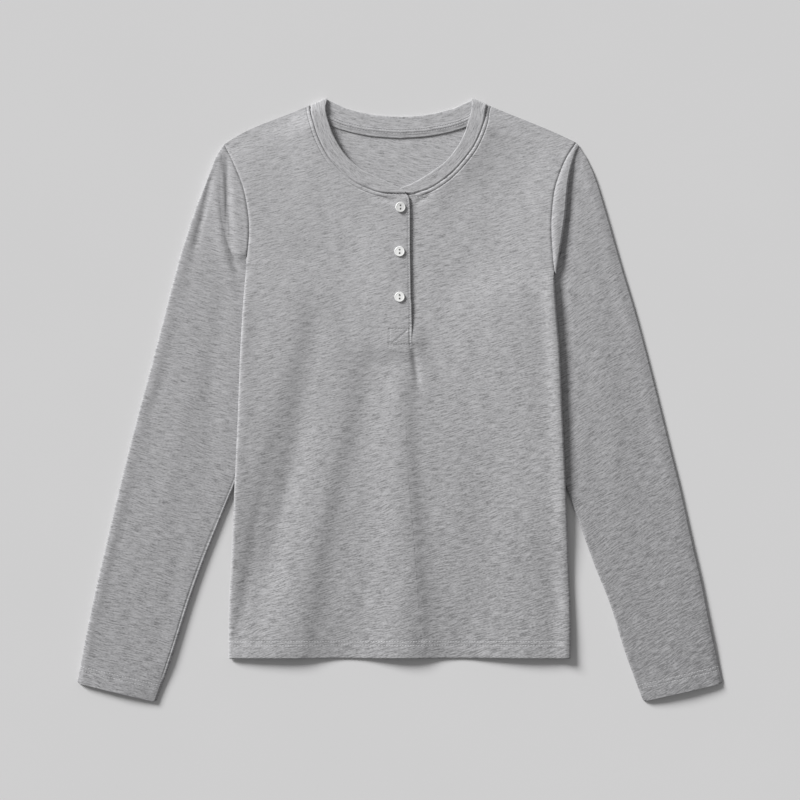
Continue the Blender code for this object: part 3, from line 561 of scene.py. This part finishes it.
def stretched_noise(tree, coordinates, scale, detail=2.0, roughness=0.55):
    """Noise stretched along the courses: scale gives cycles a metre along and across them."""
    mapping = add_node(tree, "ShaderNodeMapping", {
        "Vector": coordinates, "Scale": (scale[0] / 10, scale[1] / 10, 1.0)})
    noise = add_node(tree, "ShaderNodeTexNoise", {
        "Vector": mapping.outputs[0], "Scale": 1.0, "Detail": detail, "Roughness": roughness})
    noise.noise_dimensions = "2D"
    return noise.outputs["Fac"]


def finished_material(name, tree_of, base, shades, roughness, bump_strength, bump_distance):
    """A material whose colour and bump follow the field that tree_of makes.

    The field's values are turned into shares of the base colour at the ramp's positions.
    """
    made = bpy.data.materials.new(name)
    made.use_nodes = True
    tree = made.node_tree
    field, relief = tree_of(tree)
    ramp = add_node(tree, "ShaderNodeValToRGB", {0: field})
    stops = ramp.color_ramp.elements
    while len(stops) < len(shades):
        stops.new(0.5)
    for stop, (position, share) in zip(stops, shades):
        stop.position = position
        stop.color = (*(min(1.0, channel * share) for channel in base), 1.0)
    bump = add_node(tree, "ShaderNodeBump", {
        "Height": relief, "Strength": bump_strength, "Distance": bump_distance})
    shader = tree.nodes["Principled BSDF"]
    tree.links.new(ramp.outputs[0], shader.inputs["Base Color"])
    tree.links.new(bump.outputs[0], shader.inputs["Normal"])
    shader.inputs["Roughness"].default_value = roughness
    return made, shader


PAINTED_LIGHT_FALLOFF = (-0.08, 0.17, 0.0)  # painted shade for the light falling off: the cloth's colour darkens this much a metre, toward the lower right
HEATHER = ((0.34, 0.54), (0.44, 0.855), (0.50, 1.0), (0.56, 1.12), (0.68, 1.32))
WALE, LEG = 0.0095, 0.0075  # the knit's wale and the leg of its stitch, in grain units


def jersey_field(tree):
    """Short light and dark fibre streaks, fine grain, a painted shade that darkens the colour toward the
    lower right, and the relief with the knit's wales.
    """
    grain = add_node(tree, "ShaderNodeUVMap", uv_map="grain").outputs[0]
    streak = stretched_noise(tree, grain, (82.0, 820.0), 2.0, 0.6)
    fleck = stretched_noise(tree, grain, (380.0, 1250.0), 1.0, 0.5)
    slub = stretched_noise(tree, grain, (38.0, 260.0), 2.0)
    parts = [math_node(tree, "MULTIPLY", noise, share)
             for noise, share in ((streak, 0.60), (fleck, 0.33), (slub, 0.07))]
    mixed = math_node(tree, "ADD", math_node(tree, "ADD", parts[0], parts[1]), parts[2])
    # painted shade: the colour darkens along the way the light travels, toward the lower right
    place = tree.nodes.new("ShaderNodeTexCoord").outputs["Object"]
    fall = add_node(tree, "ShaderNodeVectorMath", {0: place, 1: PAINTED_LIGHT_FALLOFF}, operation="DOT_PRODUCT")
    split = add_node(tree, "ShaderNodeSeparateXYZ", {0: grain})
    leg = math_node(tree, "PINGPONG", math_node(tree, "MULTIPLY", split.outputs[1], 1 / LEG), 0.5)
    wale = math_node(tree, "ADD", math_node(tree, "MULTIPLY", split.outputs[0], 1 / WALE), leg)
    rib = math_node(tree, "ABSOLUTE", math_node(tree, "SINE", math_node(tree, "MULTIPLY", wale, math.pi)))
    relief = math_node(tree, "ADD", math_node(tree, "MULTIPLY", rib, 0.15), mixed)
    return math_node(tree, "ADD", mixed, fall.outputs["Value"]), relief


def jersey_material(name, base):
    """Heather jersey with a soft nap."""
    made, shader = finished_material(name, jersey_field, base, HEATHER, 0.92, 0.24, 0.0004)
    for socket, value in (("Specular IOR Level", 0.2), ("Sheen Weight", 0.2), ("Sheen Roughness", 0.6)):
        shader.inputs[socket].default_value = value
    return made


def plain_material(name, colour, roughness, speckle, scale, distance):
    """A plain colour with a faint procedural mottle and fine bump."""
    def field(tree):
        place = tree.nodes.new("ShaderNodeTexCoord").outputs["Object"]
        noise = add_node(tree, "ShaderNodeTexNoise", {"Vector": place, "Scale": scale, "Detail": 3.0})
        return noise.outputs["Fac"], noise.outputs["Fac"]

    shades = (0.35, 1 - speckle), (0.65, 1 + speckle)
    return finished_material(name, field, colour, shades, roughness, 0.3, distance)[0]


jersey = jersey_material("heather_jersey", (0.408, 0.406, 0.415))
# painted shade: the sleeves get a darker copy of the same jersey, standing in for their shading
sleeve_jersey_painted_shade = jersey_material("heather_jersey_sleeves_painted_shade", (0.374, 0.372, 0.381))
thread_grey = plain_material("thread_neck", (0.40, 0.40, 0.41), 0.7, 0.08, 900.0, 0.0001)
# painted highlight: the hem and cuff stitches get a lighter copy of the same thread, so that they show as
# light dots
thread_painted_highlight = plain_material("thread_hem_painted_highlight", (0.66, 0.66, 0.67), 0.7, 0.08, 900.0, 0.0001)
thread_pale = plain_material("button_thread", (0.80, 0.80, 0.79), 0.6, 0.03, 900.0, 0.0001)
pearl = plain_material("pearl_button", (0.92, 0.92, 0.91), 0.28, 0.03, 250.0, 0.00003)
floor_grey = plain_material("floor", (0.70, 0.697, 0.70), 0.95, 0.004, 6.0, 0.0)


# ---- stitches

def stitch_mesh(name, runs, thread):
    """Stitches along each run of surface points: short threads, thickest at the middle."""
    shares = np.array([0.0, 0.14, 0.5, 0.86, 1.0])
    sizes = (0.75, 1.0, 0.75)
    around = np.linspace(0, 2 * math.pi, 5, endpoint=False)
    points, faces = [], []
    for run, normal in runs:
        length = run_length(run)
        for start in np.arange(0.0, length[-1] - STITCH * 0.8, STITCH):
            at = start + STITCH * 0.86 * shares
            line = np.stack([np.interp(at, length, column) for column in run.T], axis=1)
            up = np.array([np.interp(start, length, column) for column in normal.T])
            side = np.cross(unit(line[-1] - line[0]), up)
            first, last = len(points), len(points) + 16
            points.append(line[0] - 0.1 * up)
            points += [middle + size * (0.08 * up + THREAD * (
                math.cos(angle) * side + math.sin(angle) * up))
                for middle, size in zip(line[1:-1], sizes) for angle in around]
            points.append(line[-1] - 0.1 * up)
            for k in range(5):
                n = (k + 1) % 5
                faces += [(first, first + 1 + n, first + 1 + k), (last, last - 5 + k, last - 5 + n)]
            faces += tube_faces(3, 5, first + 1).tolist()
    piece = finish_mesh(name, points, faces, thread)
    return piece


def on_front(line, side_of):
    """A line in plan laid on the front's outer face, with its normals."""
    height = np.empty(len(line))
    slope = np.empty((len(line), 2))
    for side in SIDES:
        own = side_of == side
        if own.any():
            x, y = line[own, 0], line[own, 1]
            height[own] = front_surface(x, y, side)
            for k, (dx, dy) in enumerate(((0.7, 0), (0, 0.7))):
                rise = front_surface(x + dx, y + dy, side) - front_surface(x - dx, y - dy, side)
                slope[own, k] = rise / 1.4
    normal = np.column_stack([-np.clip(slope, -0.6, 0.6), np.ones(len(line))])
    return np.column_stack([line, height + 0.05]), unit(normal)


# ---- front and back

def row_heights(rows, start):
    ends = [start]
    for end, steps in rows:
        ends += list(np.linspace(ends[-1], end, steps + 1)[1:])
    return np.array(ends[1:])


def outer_boundary(side):
    """The armhole and side edge of one half, a point for each row, outward from the middle."""
    armhole = ARMHOLE_CURVE[side]
    armpit = ARMHOLE[side][-1].y
    upper = np.linspace(armhole[0, 1], NECK_ROWS_END_Y, NECK_ROWS + 1)
    above = round(LAP_ROWS * (NECK_ROWS_END_Y - armpit) / (NECK_ROWS_END_Y - BOX_TOP_Y))
    rows = [(armpit, above), (BOX_TOP_Y, LAP_ROWS - above), *LOWER_ROWS]
    y = np.concatenate([upper, row_heights(rows, NECK_ROWS_END_Y)])
    out = np.where(y >= armpit, out_at(armhole, y), out_at(SIDE_CURVE[side], y))
    return np.stack([out, y], axis=1)


def inner_boundary(neck, middle):
    y = row_heights([(BOX_TOP_Y, LAP_ROWS), *LOWER_ROWS], neck[-1, 1])
    return np.concatenate([neck, np.stack([middle(y), y], axis=1)])


def moved_out(line, side, distance):
    """A line moved sideways by the distance."""
    toward = np.gradient(line, axis=0)
    return line + distance * unit(np.stack([-toward[:, 1], toward[:, 0]], axis=1) * side)


def half_panel(inner, outer, columns, side):
    """Points between the inner and outer edges, the upper rows bowed with the shoulder."""
    share = np.array(columns)[None, :, None]
    plan = inner[:, None] * (1 - share) + outer[:, None] * share
    upper = ease(60, 0, outer[0, 1] - outer[:, 1])
    plan[..., 1] += upper[:, None] * shoulder_bow(np.array(columns), side)
    return plan


def front_half(side):
    """One half of the front; the right half leaves the slit open and tucks its corner under."""
    fractions = np.linspace(0, 1, NECK_ROWS + 1)
    neck = moved_out(at_lengths(NECK_SEAM[side][:, :2], fractions), -side, 0.1)
    slot, drop = {LEFT: (0.0, 0.0), RIGHT: (GAP + 0.1, 0.9)}[side]
    neck[:, 1] -= drop * ease(0.93, 1.0, fractions)
    neck[-1, 0] = out_at(PLACKET_CURVE, neck[-1, 1]) + slot
    inner = inner_boundary(
        neck, lambda y: out_at(PLACKET_CURVE, y) + slot * (y > SLIT_END_Y + 0.1))
    plan = half_panel(inner, sided(outer_boundary(side), side), COLUMNS, side)
    x, y = plan[..., 0], plan[..., 1]
    return np.stack([x, y, front_surface(x, y, side)], axis=-1)


def grain_of(x, y, degrees=15.0):
    """Cloth coordinates: along the heather's streaks and across them, gently wavy."""
    turn = math.radians(degrees)
    along = x * math.cos(turn) + y * math.sin(turn)
    across = y * math.cos(turn) - x * math.sin(turn)
    return np.stack([along, across + 1.5 * waves(x, y, 3, 25, 110)], axis=-1)


def two_halves(halves, joined_row, flipped):
    """Points and faces of both halves, which share their middle points from a row down."""
    rows, columns = halves[0].shape[:2]
    count = rows * columns
    faces = [grid_faces(rows, columns), grid_faces(rows, columns, count)]
    faces[flipped] = faces[flipped][:, ::-1]
    joined = np.arange(2 * count)
    own = np.arange(joined_row, rows) * columns
    joined[count + own] = own
    return np.concatenate([half.reshape(-1, 3) for half in halves]), joined[np.concatenate(faces)]


def build_front():
    left, right = front_half(LEFT), front_half(RIGHT)
    points, faces = two_halves((left, right), NECK_ROWS + LAP_ROWS + BOX_ROWS, 1)
    grain = grain_of(points[:, 0], points[:, 1])
    piece = wall("front_panel", points, faces, JERSEY, jersey, grain)
    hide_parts("front")
    return piece, left


def build_back():
    halves = []
    for side in SIDES:
        neck = at_lengths(BACK_NECK_CURVE[:, 2:4], np.linspace(0, 1, NECK_ROWS + 1))
        neck = moved_out(neck, 1, 0.1)
        neck[-1, 0] = 0.0
        inner = inner_boundary(sided(neck, side), np.zeros_like)
        outer = sided(outer_boundary(side), side)
        rows = np.unique(np.concatenate([np.arange(0, len(inner) - 30, 2),
                                         np.arange(len(inner) - 30, len(inner))]))
        plan = half_panel(inner[rows], outer[rows], BACK_COLUMNS, side)
        x, y = plan[..., 0], plan[..., 1]
        height = back_bottom(x, y, side) + 0.4 * rounded((y - HEM_Y) / 1.2)
        halves.append(np.stack([x, y, height], axis=-1))
    points, faces = two_halves(halves, NECK_ROWS // 2, 0)
    piece = wall("back_panel", points, faces, JERSEY + 0.1, jersey,
                 grain_of(points[:, 0], points[:, 1] + 700, -10.0))
    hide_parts("back")
    return piece


# ---- sleeves

def sleeve_rows(side, fractions):
    """Plan, top, underside and row kind of every ring, cuff to armhole."""
    crest = at_lengths(smooth_curve(CREST[side], 20), fractions)
    armhole = at_lengths(ARMHOLE_CURVE[side], fractions)
    taper = np.sqrt(np.sin(math.pi * fractions).clip(0))[:, None]
    foot = crest + FOOT_RUN[side] * (0.25 + 0.75 * taper) * np.array([1.0, -0.35])
    bow = foot - np.outer(1 - fractions, foot[0]) - np.outer(fractions, foot[-1])
    start, end = 1 - ease(0.0, 0.07, fractions), ease(0.94, 1.0, fractions)
    foot += np.outer(start, TIP_FOOT[side]) + np.outer(end, END_FOOT[side])
    crest += np.outer(start, TIP_CREST[side]) + np.outer(end, END_CREST[side])
    table = resampled_rings(smooth_curve(np.array(SLEEVE[side]), 24))
    plans, tops = [], []
    for outer_out, outer_y, inner_out, inner_y, share, top in table:
        line = (np.outer(1 - fractions, (outer_out, outer_y))
                + np.outer(fractions, (inner_out, inner_y)))
        plans.append(line + share * bow)
        tops.append(np.full(len(fractions), top))
    last_plan, last_top = plans[-1], tops[-1]
    for s in np.linspace(0, 1, 15)[1:]:
        plans.append(last_plan * (1 - s) + foot * s)
        tops.append(last_top + (FOOT_TOP[side] - last_top) * s)
    foot_row = len(plans) - 1
    seam_z = armhole[:, 2] - ARMPIT_SINK[side] * ease(0.9, 1.0, fractions)
    stands = taper[:, 0] if side == LEFT else ease(0.02, 0.3, fractions) * ease(1.0, 0.9, fractions)
    crest_z = seam_z + 0.2 + CREST_RISE[side] * stands
    for s in np.linspace(0, 1, 12)[1:]:
        rise = math.sqrt(1 - (1 - s) ** 2) if side == RIGHT else s * s * (3 - 2 * s)
        plans.append(foot * (1 - s) + crest * s)
        tops.append(tops[foot_row] + (crest_z - tops[foot_row]) * rise)
    seam = moved_out(armhole[:, :2], 1, 0.15) + np.outer(end, (0.0, -1.6))
    for s in np.linspace(0, 1, 17)[1:]:
        away = np.linalg.norm((crest - seam) * (1 - s), axis=1)
        plans.append(crest * (1 - s) + seam * s)
        tops.append(crest_z + (seam_z - crest_z) * s ** STRIP_POWER[side]
                    + 0.1 * bell(away - 3.0, 2.0) + groove(away, SLEEVE_GROOVE[side], 0.9))
    return plans, tops, foot_row


def resampled_rings(table):
    """The ring table's curve with close rows at the cuff's edge and its needle lines."""
    run = run_length((table[:, 0:2] + table[:, 2:4]) / 2)
    at = np.concatenate([np.arange(0, 4, 0.5), np.arange(4, 13, 1.5), np.arange(13, 21, 0.6),
                         np.linspace(22, run[-1], 150)])
    return np.stack([np.interp(at, run, column) for column in table.T], axis=1)


def build_sleeve(side, name, node):
    fractions = np.linspace(0, 1, 81)
    plans, tops, foot_row = sleeve_rows(side, fractions)
    rolled = bell(fractions - 0.055, 0.06)
    lengths = run_length(np.array([plan.mean(axis=0) for plan in plans]))
    count = len(plans) - 1
    fade = np.sin(math.pi * fractions).clip(0) ** 0.35
    loops = []
    for index, (plan, top) in enumerate(zip(plans, tops)):
        x, y = plan[:, 0] * side, plan[:, 1]
        share = np.clip((index - foot_row) / (count - foot_row), 0, 1)
        low = back_bottom(x, y, side) * share
        depth = lengths[index]
        extra = crease_height(x, y, SLEEVE_CREASES[side])
        if index <= foot_row:
            top = top + 0.8 * rolled * ease(0, 50, lengths[foot_row] - depth)
            if side == RIGHT:
                top = top - 1.4 * ease(14, 0, np.linalg.norm(plan - plan[0], axis=1))
            extra += 0.15 * waves(x, y, 21 + side, 20, 60)
            extra += sum(groove(depth - needle, 0.25, 0.75) for needle in NEEDLES)
            extra += 0.18 * waves(x, y * 0.4, 31, 5, 14) * bell(depth - NEEDLES[0] + 2, 9)
            if side == LEFT:
                inward = np.linalg.norm(plan - plan[-1], axis=1)
                extra -= 1.2 * ease(14, 40, depth) * ease(4.8, 4.0, inward)
        top = np.maximum(top + extra * fade, low + 2 * JERSEY + 0.1)
        fall = 1 - np.sin(math.pi * fractions).clip(0) ** 0.6
        top = top - CUFF_FALL * fall * ease(55, 0, depth)
        if index <= foot_row:
            hidden = ease(-120, -90, y) * ease(-8, 6, out_at(SIDE_CURVE[side], y) - plan[:, 0])
            hidden *= ease(ARMPIT[side], ARMPIT[side] - 14, y)
            top = top + (np.minimum(top, 4.0) - top) * hidden
        corner = 2.0 * rounded(depth / 3.0)
        tight = 1 - 0.85 * np.clip((index - foot_row + 14) / 14, 0, 1)
        loops.append(ring_loop(plan, top, low, side, corner, tight))
    outer, inner = np.array(loops).swapaxes(0, 1)
    rows, around = outer.shape[:2]
    ring = np.arange(around)
    inside = rows * around
    shell = tube_faces(rows, around)
    faces = [shell, shell[:, ::-1] + inside]
    following, last = np.roll(ring, -1), inside - around
    for a, b in ((following, ring), (ring + last, following + last)):
        faces.append(np.stack([a, b, b + inside, a + inside], axis=1))
    points = np.concatenate([outer.reshape(-1, 3), inner.reshape(-1, 3)])
    grain = grain_of(points[:, 0], points[:, 1] + 900, {LEFT: -14.0, RIGHT: 30.0}[side])
    piece = finish_mesh(name, points, np.concatenate(faces).tolist(), sleeve_jersey_painted_shade, grain)
    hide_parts(node)
    return piece, outer, lengths


def ring_loop(plan, top, low, side, corner, tight):
    """One ring's outer and inner loops: over the top, round the folds and back below."""
    across = run_length(plan)
    total = across[-1]
    first = min((top[0] - low[0]) / 2, total * 0.3)
    last = min((top[-1] - low[-1]) / 2, total * 0.3)
    start, end = first + corner, total - last * tight - corner

    def turn(hub, way, radius, middle, begin, finish):
        angles = np.radians(np.linspace(begin, finish, 9))
        reach = np.array([[radius], [max(radius - JERSEY, 0.15)]])
        return np.array([hub + way * reach * np.cos(angles), middle + reach * np.sin(angles)])

    def level(places, heights, way):
        z = np.interp(places, across, heights)
        return np.array([[places, places], [z, z + way * JERSEY]])

    edge = min(7.0, (end - start) / 4)
    over = np.concatenate([np.linspace(start, end - edge, 44)[1:],
                           np.linspace(end - edge, end, 15)[1:-1]])
    u, z = np.concatenate([
        turn(start, -1, first, (top[0] + low[0]) / 2, -90, 90), level(over, top, -1),
        turn(end, tight, last, (top[-1] + low[-1]) / 2, 90, -90),
        level(np.linspace(end, start, 16)[1:-1], low, 1)], axis=2)
    x, y = (np.interp(np.clip(u, 0, total), across, column) for column in plan.T)
    return np.stack([x * side, y, z], axis=-1)


# ---- neckband and tape

def neck_rows(curve, fractions):
    """Rows of a neck table at fractions of its seam's length."""
    return at_lengths(curve, fractions, slice(2, 4))


def band_sections():
    """Neckband sections from its left end round the back to its right end."""
    up = np.array([0.0, 0.0, 1.0])
    fractions = np.linspace(0, 1, 61)

    def section(row, side, height, normal):
        """The folded edge, the seam and the way out of the cloth."""
        return (side * row[0], row[1], height), (side * row[2], row[3], height), normal

    def front(side):
        return [section(row, side, row[4], up)
                for row in neck_rows(NECK_CURVE[side], fractions)[2:]]

    def turn(side):
        """The band rolls over at the shoulder, from the front's face to the back's."""
        inner, outer = np.array(FRONT_NECK[side][0][:4]).reshape(2, 2) * (side, 1)
        edge = unit(inner - outer)
        away = np.array([edge[1], -edge[0]])
        away *= np.sign(away[1])
        radius = 2.7
        made = []
        for angle in np.radians(np.arange(75, -90, -15)):
            push = away * (radius * math.cos(angle) - 2.2)
            row = (*(inner + push), *(outer + push))
            normal = (*(away * math.cos(angle)), math.sin(angle))
            made.append(section(row, 1, radius + radius * math.sin(angle), normal))
        return made

    def back(side, rows):
        return [section(row, side, 0.0, -up) for row in rows]

    rows = neck_rows(BACK_NECK_CURVE, np.linspace(0.03, 1, 46))
    made = front(LEFT)[::-1] + turn(LEFT) + back(LEFT, rows)
    made += back(RIGHT, rows[-2::-1]) + turn(RIGHT)[::-1] + front(RIGHT)
    last = NECK_CURVE[RIGHT][-1]
    for share in (0.33, 0.66, 1.0):
        end = np.array(BAND_END) * share + last * (1 - share)
        made.append(section(end, 1, end[4], up))
    return np.array(made, float)


def build_neckband():
    """A folded band: the seam dips, the cloth swells over the seam's edges, the fold is round."""
    shares = np.concatenate([np.linspace(0, 0.24, 14), np.linspace(0.3, 0.86, 9)])
    angles = np.radians(np.linspace(90, -90, 9))
    radius = BAND / 2
    sections = band_sections()
    profiles, grain = [], []
    for (inner, outer, normal), run in zip(sections, run_length(sections[:, :2].mean(axis=1))):
        width = np.linalg.norm(inner - outer)
        over, under = shares * width, shares[::-2] * width
        relief = 0.14 * bell(over - 2.2, 1.1) + groove(over, 1.0, 0.8)
        if normal[2] < 0:  # behind the neck this face lies on the floor
            relief = np.maximum(relief, -outer[2])
        reach = np.concatenate([over, width - radius + radius * np.cos(angles), under])
        height = np.concatenate([relief, radius * np.sin(angles) - radius, 0 * under - BAND])
        profiles.append(outer + np.outer(reach, (inner - outer) / width) + np.outer(height, normal))
        fold = width - radius + radius * (math.pi / 2 - angles)
        grain += [(run, place + 2000.0) for place in (*over, *fold, *(2 * width - under))]
    around = len(reach)
    faces = tube_faces(len(sections), around).tolist()
    faces += [range(around)[::-1], range(len(grain) - around, len(grain))]
    piece = finish_mesh("neckband_folded", np.concatenate(profiles), faces, jersey, np.array(grain))
    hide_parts("neckband")
    return piece


def upright(line):
    """A run of stitches: a line just off its cloth, with upright normals."""
    return line + [0, 0, 0.05], np.tile([0.0, 0.0, 1.0], (len(line), 1))


def build_tape():
    """The tape covers the seam of band and back on the inside."""
    rows = neck_rows(BACK_NECK_CURVE, np.linspace(0.2, 1, 50))[:, :4]
    line = np.concatenate([rows * (LEFT, 1, LEFT, 1), rows[-2::-1]])
    reaches = np.linspace(0.40, -0.62, 41)
    over = reaches[:, None] * TAPE_WIDTH
    height = BAND + GAP + STRIP - 0.9 * ease(0.05, -0.5, reaches)
    height += sum(groove((reaches - row) * TAPE_WIDTH, 0.4, 0.6) for row in TAPE_ROWS)
    height -= 0.3 * (ease(0.34, 0.40, reaches) + ease(-0.56, -0.62, reaches))
    inner, seam = line[:, None, :2], line[:, None, 2:]
    grid = np.empty((len(line), len(reaches), 3))
    grid[..., :2] = seam + unit(inner - seam) * over
    grid[..., 2] = height
    grain = np.stack(np.meshgrid(np.arange(len(line)) * 2.0, over + 3000, indexing="ij"), axis=-1)
    piece = wall("neck_seam_tape", grid.reshape(-1, 3), grid_faces(len(line), len(reaches)), 0.8,
                 jersey, grain.reshape(-1, 2))
    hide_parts("neck_tape")
    return piece, [upright(grid[:, np.abs(reaches - row).argmin()]) for row in TAPE_ROWS]


# ---- placket and buttons

def build_placket(left):
    """The strips under the lap, made from the lap's own points moved down."""
    rows = slice(NECK_ROWS + 1, NECK_ROWS + LAP_ROWS + BOX_ROWS + 1)
    lap = left[rows, :np.searchsorted(COLUMNS, 0.128):2].copy()
    lap[:, 0, 2] = lap[:, 1, 2]
    pieces = []
    for name, node, drop in (("placket_facing", "placket_top", CLOTH + GAP),
                             ("placket_underlap", "placket_under", CLOTH + 2 * GAP + STRIP)):
        points = lap.copy()
        points[..., 2] -= drop
        points[:, 0, 0] -= GAP
        flat = points.reshape(-1, 3)
        piece = wall(name, flat, grid_faces(*points.shape[:2]), JERSEY, jersey,
                     grain_of(flat[:, 0], flat[:, 1] + 300))
        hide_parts(node)
        pieces.append(piece)
    return pieces


def build_button(name, x, y, lean):
    """A turned disc with a raised rim, a dished middle, two holes and the sewing thread."""
    radius, thick = BUTTON_DIAMETER / 2, BUTTON_THICKNESS
    profile = [(radius - 0.7, 0.0)]
    profile += [(radius - 0.6 + 0.6 * math.cos(a), thick * 0.5 + thick * 0.5 * math.sin(a))
                for a in np.radians(np.linspace(-80, 80, 9))]
    profile += [(radius - r, thick - z) for r, z in
                ((0.7, 0.0), (0.9, 0.02), (1.05, 0.08), (1.25, 0.14), (1.8, 0.15), (3.2, 0.16))]
    turns = 72
    points = [(0.0, 0.0, 0.0), (0.0, 0.0, thick - BUTTON_DISH)]
    points += [(r * math.cos(angle), r * math.sin(angle), z) for r, z in profile
               for angle in 2 * math.pi * np.arange(turns) / turns]
    end = len(points) - turns
    faces = tube_faces(len(profile), turns, 2).tolist()
    for turn in range(turns):
        following = (turn + 1) % turns
        faces += [(0, 2 + following, 2 + turn), (1, end + turn, end + following)]
    disc = finish_mesh(name + "_disc", points, faces, pearl)
    cutters = []
    for way in (-1, 1):
        bpy.ops.mesh.primitive_cylinder_add(
            vertices=24, radius=BUTTON_HOLE / 2 * MM, depth=4 * thick * MM,
            location=(0, way * BUTTON_HOLE_SPACING / 2 * MM, 0))
        cutters.append(bpy.context.object)
        hole = disc.modifiers.new("hole", "BOOLEAN")
        hole.object = cutters[-1]
        hole.solver = "EXACT"
    bpy.context.view_layer.update()
    cut = bpy.data.meshes.new_from_object(disc.evaluated_get(bpy.context.evaluated_depsgraph_get()))
    disc.modifiers.clear()
    disc.data = cut
    cut.set_sharp_from_angle(angle=math.radians(40))
    for cutter in cutters:
        bpy.data.objects.remove(cutter, do_unlink=True)
    low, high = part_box(name)
    slope = math.radians(lean)
    base = np.array([x, y, (low + high).z / 2 / MM - thick / 2 * math.cos(slope) - 0.2])
    tilt = np.array([[math.cos(slope), 0, math.sin(slope)], [0, 1, 0],
                     [-math.sin(slope), 0, math.cos(slope)]])
    spots = np.array([v.co for v in cut.vertices]) / MM
    cut.vertices.foreach_set("co", ((spots @ tilt.T + base) * MM).ravel())
    cut.update()
    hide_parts(name)
    button_thread(name + "_thread", base, tilt, thick)


def button_thread(name, base, tilt, thick):
    """Strands over the button's middle that turn down through both holes."""
    points, faces = [], []
    half = BUTTON_HOLE_SPACING / 2
    floor_z = thick - BUTTON_DISH
    turned = [(-half + 0.7, -0.2), (-half + 0.75, floor_z - 0.3), (-half + 0.95, floor_z + 0.05)]
    line_of = turned + [(t, floor_z + 0.13) for t in np.linspace(-0.6, 0.6, 5)]
    line_of += [(-t, z) for t, z in turned[::-1]]
    for offset in (-0.2, 0.2):
        line = smooth_curve([(offset, t, z) for t, z in line_of], 3)
        side = np.array([1.0, 0.0, 0.0])
        first = len(points)
        for spot, way in zip(line, unit(np.gradient(line, axis=0))):
            up = np.cross(side, way)
            for angle in np.linspace(0, 2 * math.pi, 8, endpoint=False):
                points.append(spot + 0.07 * (math.cos(angle) * side + math.sin(angle) * up))
        faces += tube_faces(len(line), 8, first).tolist()
        faces += [range(first, first + 8)[::-1], range(len(points) - 8, len(points))]
    piece = finish_mesh(name, np.array(points) @ tilt.T + base, faces, thread_pale)


# ---- the shirt

front_piece, lap_grid = build_front()
back_piece = build_back()
left_sleeve, left_loops, left_lengths = build_sleeve(LEFT, "left_sleeve", "sleeve_left")
right_sleeve, right_loops, right_lengths = build_sleeve(RIGHT, "right_sleeve", "sleeve_right")
band_piece = build_neckband()
tape_piece, tape_runs = build_tape()
facing_piece, underlap_piece = build_placket(lap_grid)
for button, (bx, by, blean) in BUTTONS.items():
    build_button(button, bx, by, blean)


def hem_run(needle):
    y = HEM_Y + needle
    ends = [side * (float(out_at(SIDE_CURVE[side], y)) - 3.0) for side in SIDES]
    x = np.arange(ends[0], ends[1], 1.5)
    line = np.column_stack([x, np.full(len(x), y)])
    return on_front(line, np.where(x < out_at(PLACKET_CURVE, y), LEFT, RIGHT))


def neck_run(side):
    seam = at_lengths(NECK_SEAM[side][:, :2], np.linspace(0.02, 0.985, 120))
    return on_front(moved_out(seam, -side, 4.4), np.full(len(seam), side))


def placket_runs():
    y = np.arange(226.0, 80.0, -1.5)
    lines = [np.column_stack([out_at(PLACKET_CURVE, y) - 2.6, y])]
    lines += [np.linspace(start, end, max(3, int(np.linalg.norm(end - start) / 1.5)))
              for start, end in box_lines()]
    return [on_front(line, np.full(len(line), LEFT)) for line in lines]


def cuff_runs(loops, lengths):
    over = loops[:, 6:66].reshape(len(loops), -1)  # the points of each ring that lie on its top
    return [upright(np.array([np.interp(needle, lengths, column) for column in over.T]).reshape(-1, 3))
            for needle in NEEDLES]


hem_stitches = stitch_mesh("hem_stitches", map(hem_run, NEEDLES), thread_painted_highlight)
neck_stitches = stitch_mesh("neck_stitches", map(neck_run, SIDES), thread_grey)
placket_stitches = stitch_mesh("placket_stitches", placket_runs(), thread_grey)
left_cuff_stitches = stitch_mesh(
    "left_cuff_stitches", cuff_runs(left_loops, left_lengths), thread_painted_highlight)
right_cuff_stitches = stitch_mesh(
    "right_cuff_stitches", cuff_runs(right_loops, right_lengths), thread_painted_highlight)
tape_stitches = stitch_mesh("tape_stitches", tape_runs, thread_grey)

# ---- floor, light and camera

bpy.ops.mesh.primitive_plane_add(size=8.0, location=(0, 0, 0))
floor = bpy.context.object
floor.name = "floor"
floor.data.materials.append(floor_grey)

LIGHT_ELEVATION = math.radians(25.0)
LIGHT_TRAVEL = (0.73, -0.68)  # the way the shadows fall
sun_data = bpy.data.lights.new("key", "SUN")
sun_data.energy = 4.6
sun_data.angle = math.radians(21.0)
sun = placed_object("key", sun_data)
turned = math.atan2(-LIGHT_TRAVEL[0], LIGHT_TRAVEL[1])
sun.rotation_euler = (math.pi / 2 - LIGHT_ELEVATION, 0.0, turned)

world = bpy.data.worlds.new("studio")
bpy.context.scene.world = world
world.use_nodes = True
background = world.node_tree.nodes["Background"]
background.inputs["Color"].default_value = (1.0, 1.0, 1.0, 1.0)
background.inputs["Strength"].default_value = 0.26
bpy.context.scene.view_settings.view_transform = "Standard"

VIEW_WIDTH, CAMERA_HEIGHT = 0.896, 3.0
camera_data = bpy.data.cameras.new("camera")
camera_data.sensor_width = 36.0
camera_data.lens = 36.0 * CAMERA_HEIGHT / VIEW_WIDTH
camera = placed_object("camera", camera_data)
camera.location = (0.0, 0.0, CAMERA_HEIGHT)
bpy.context.scene.camera = camera
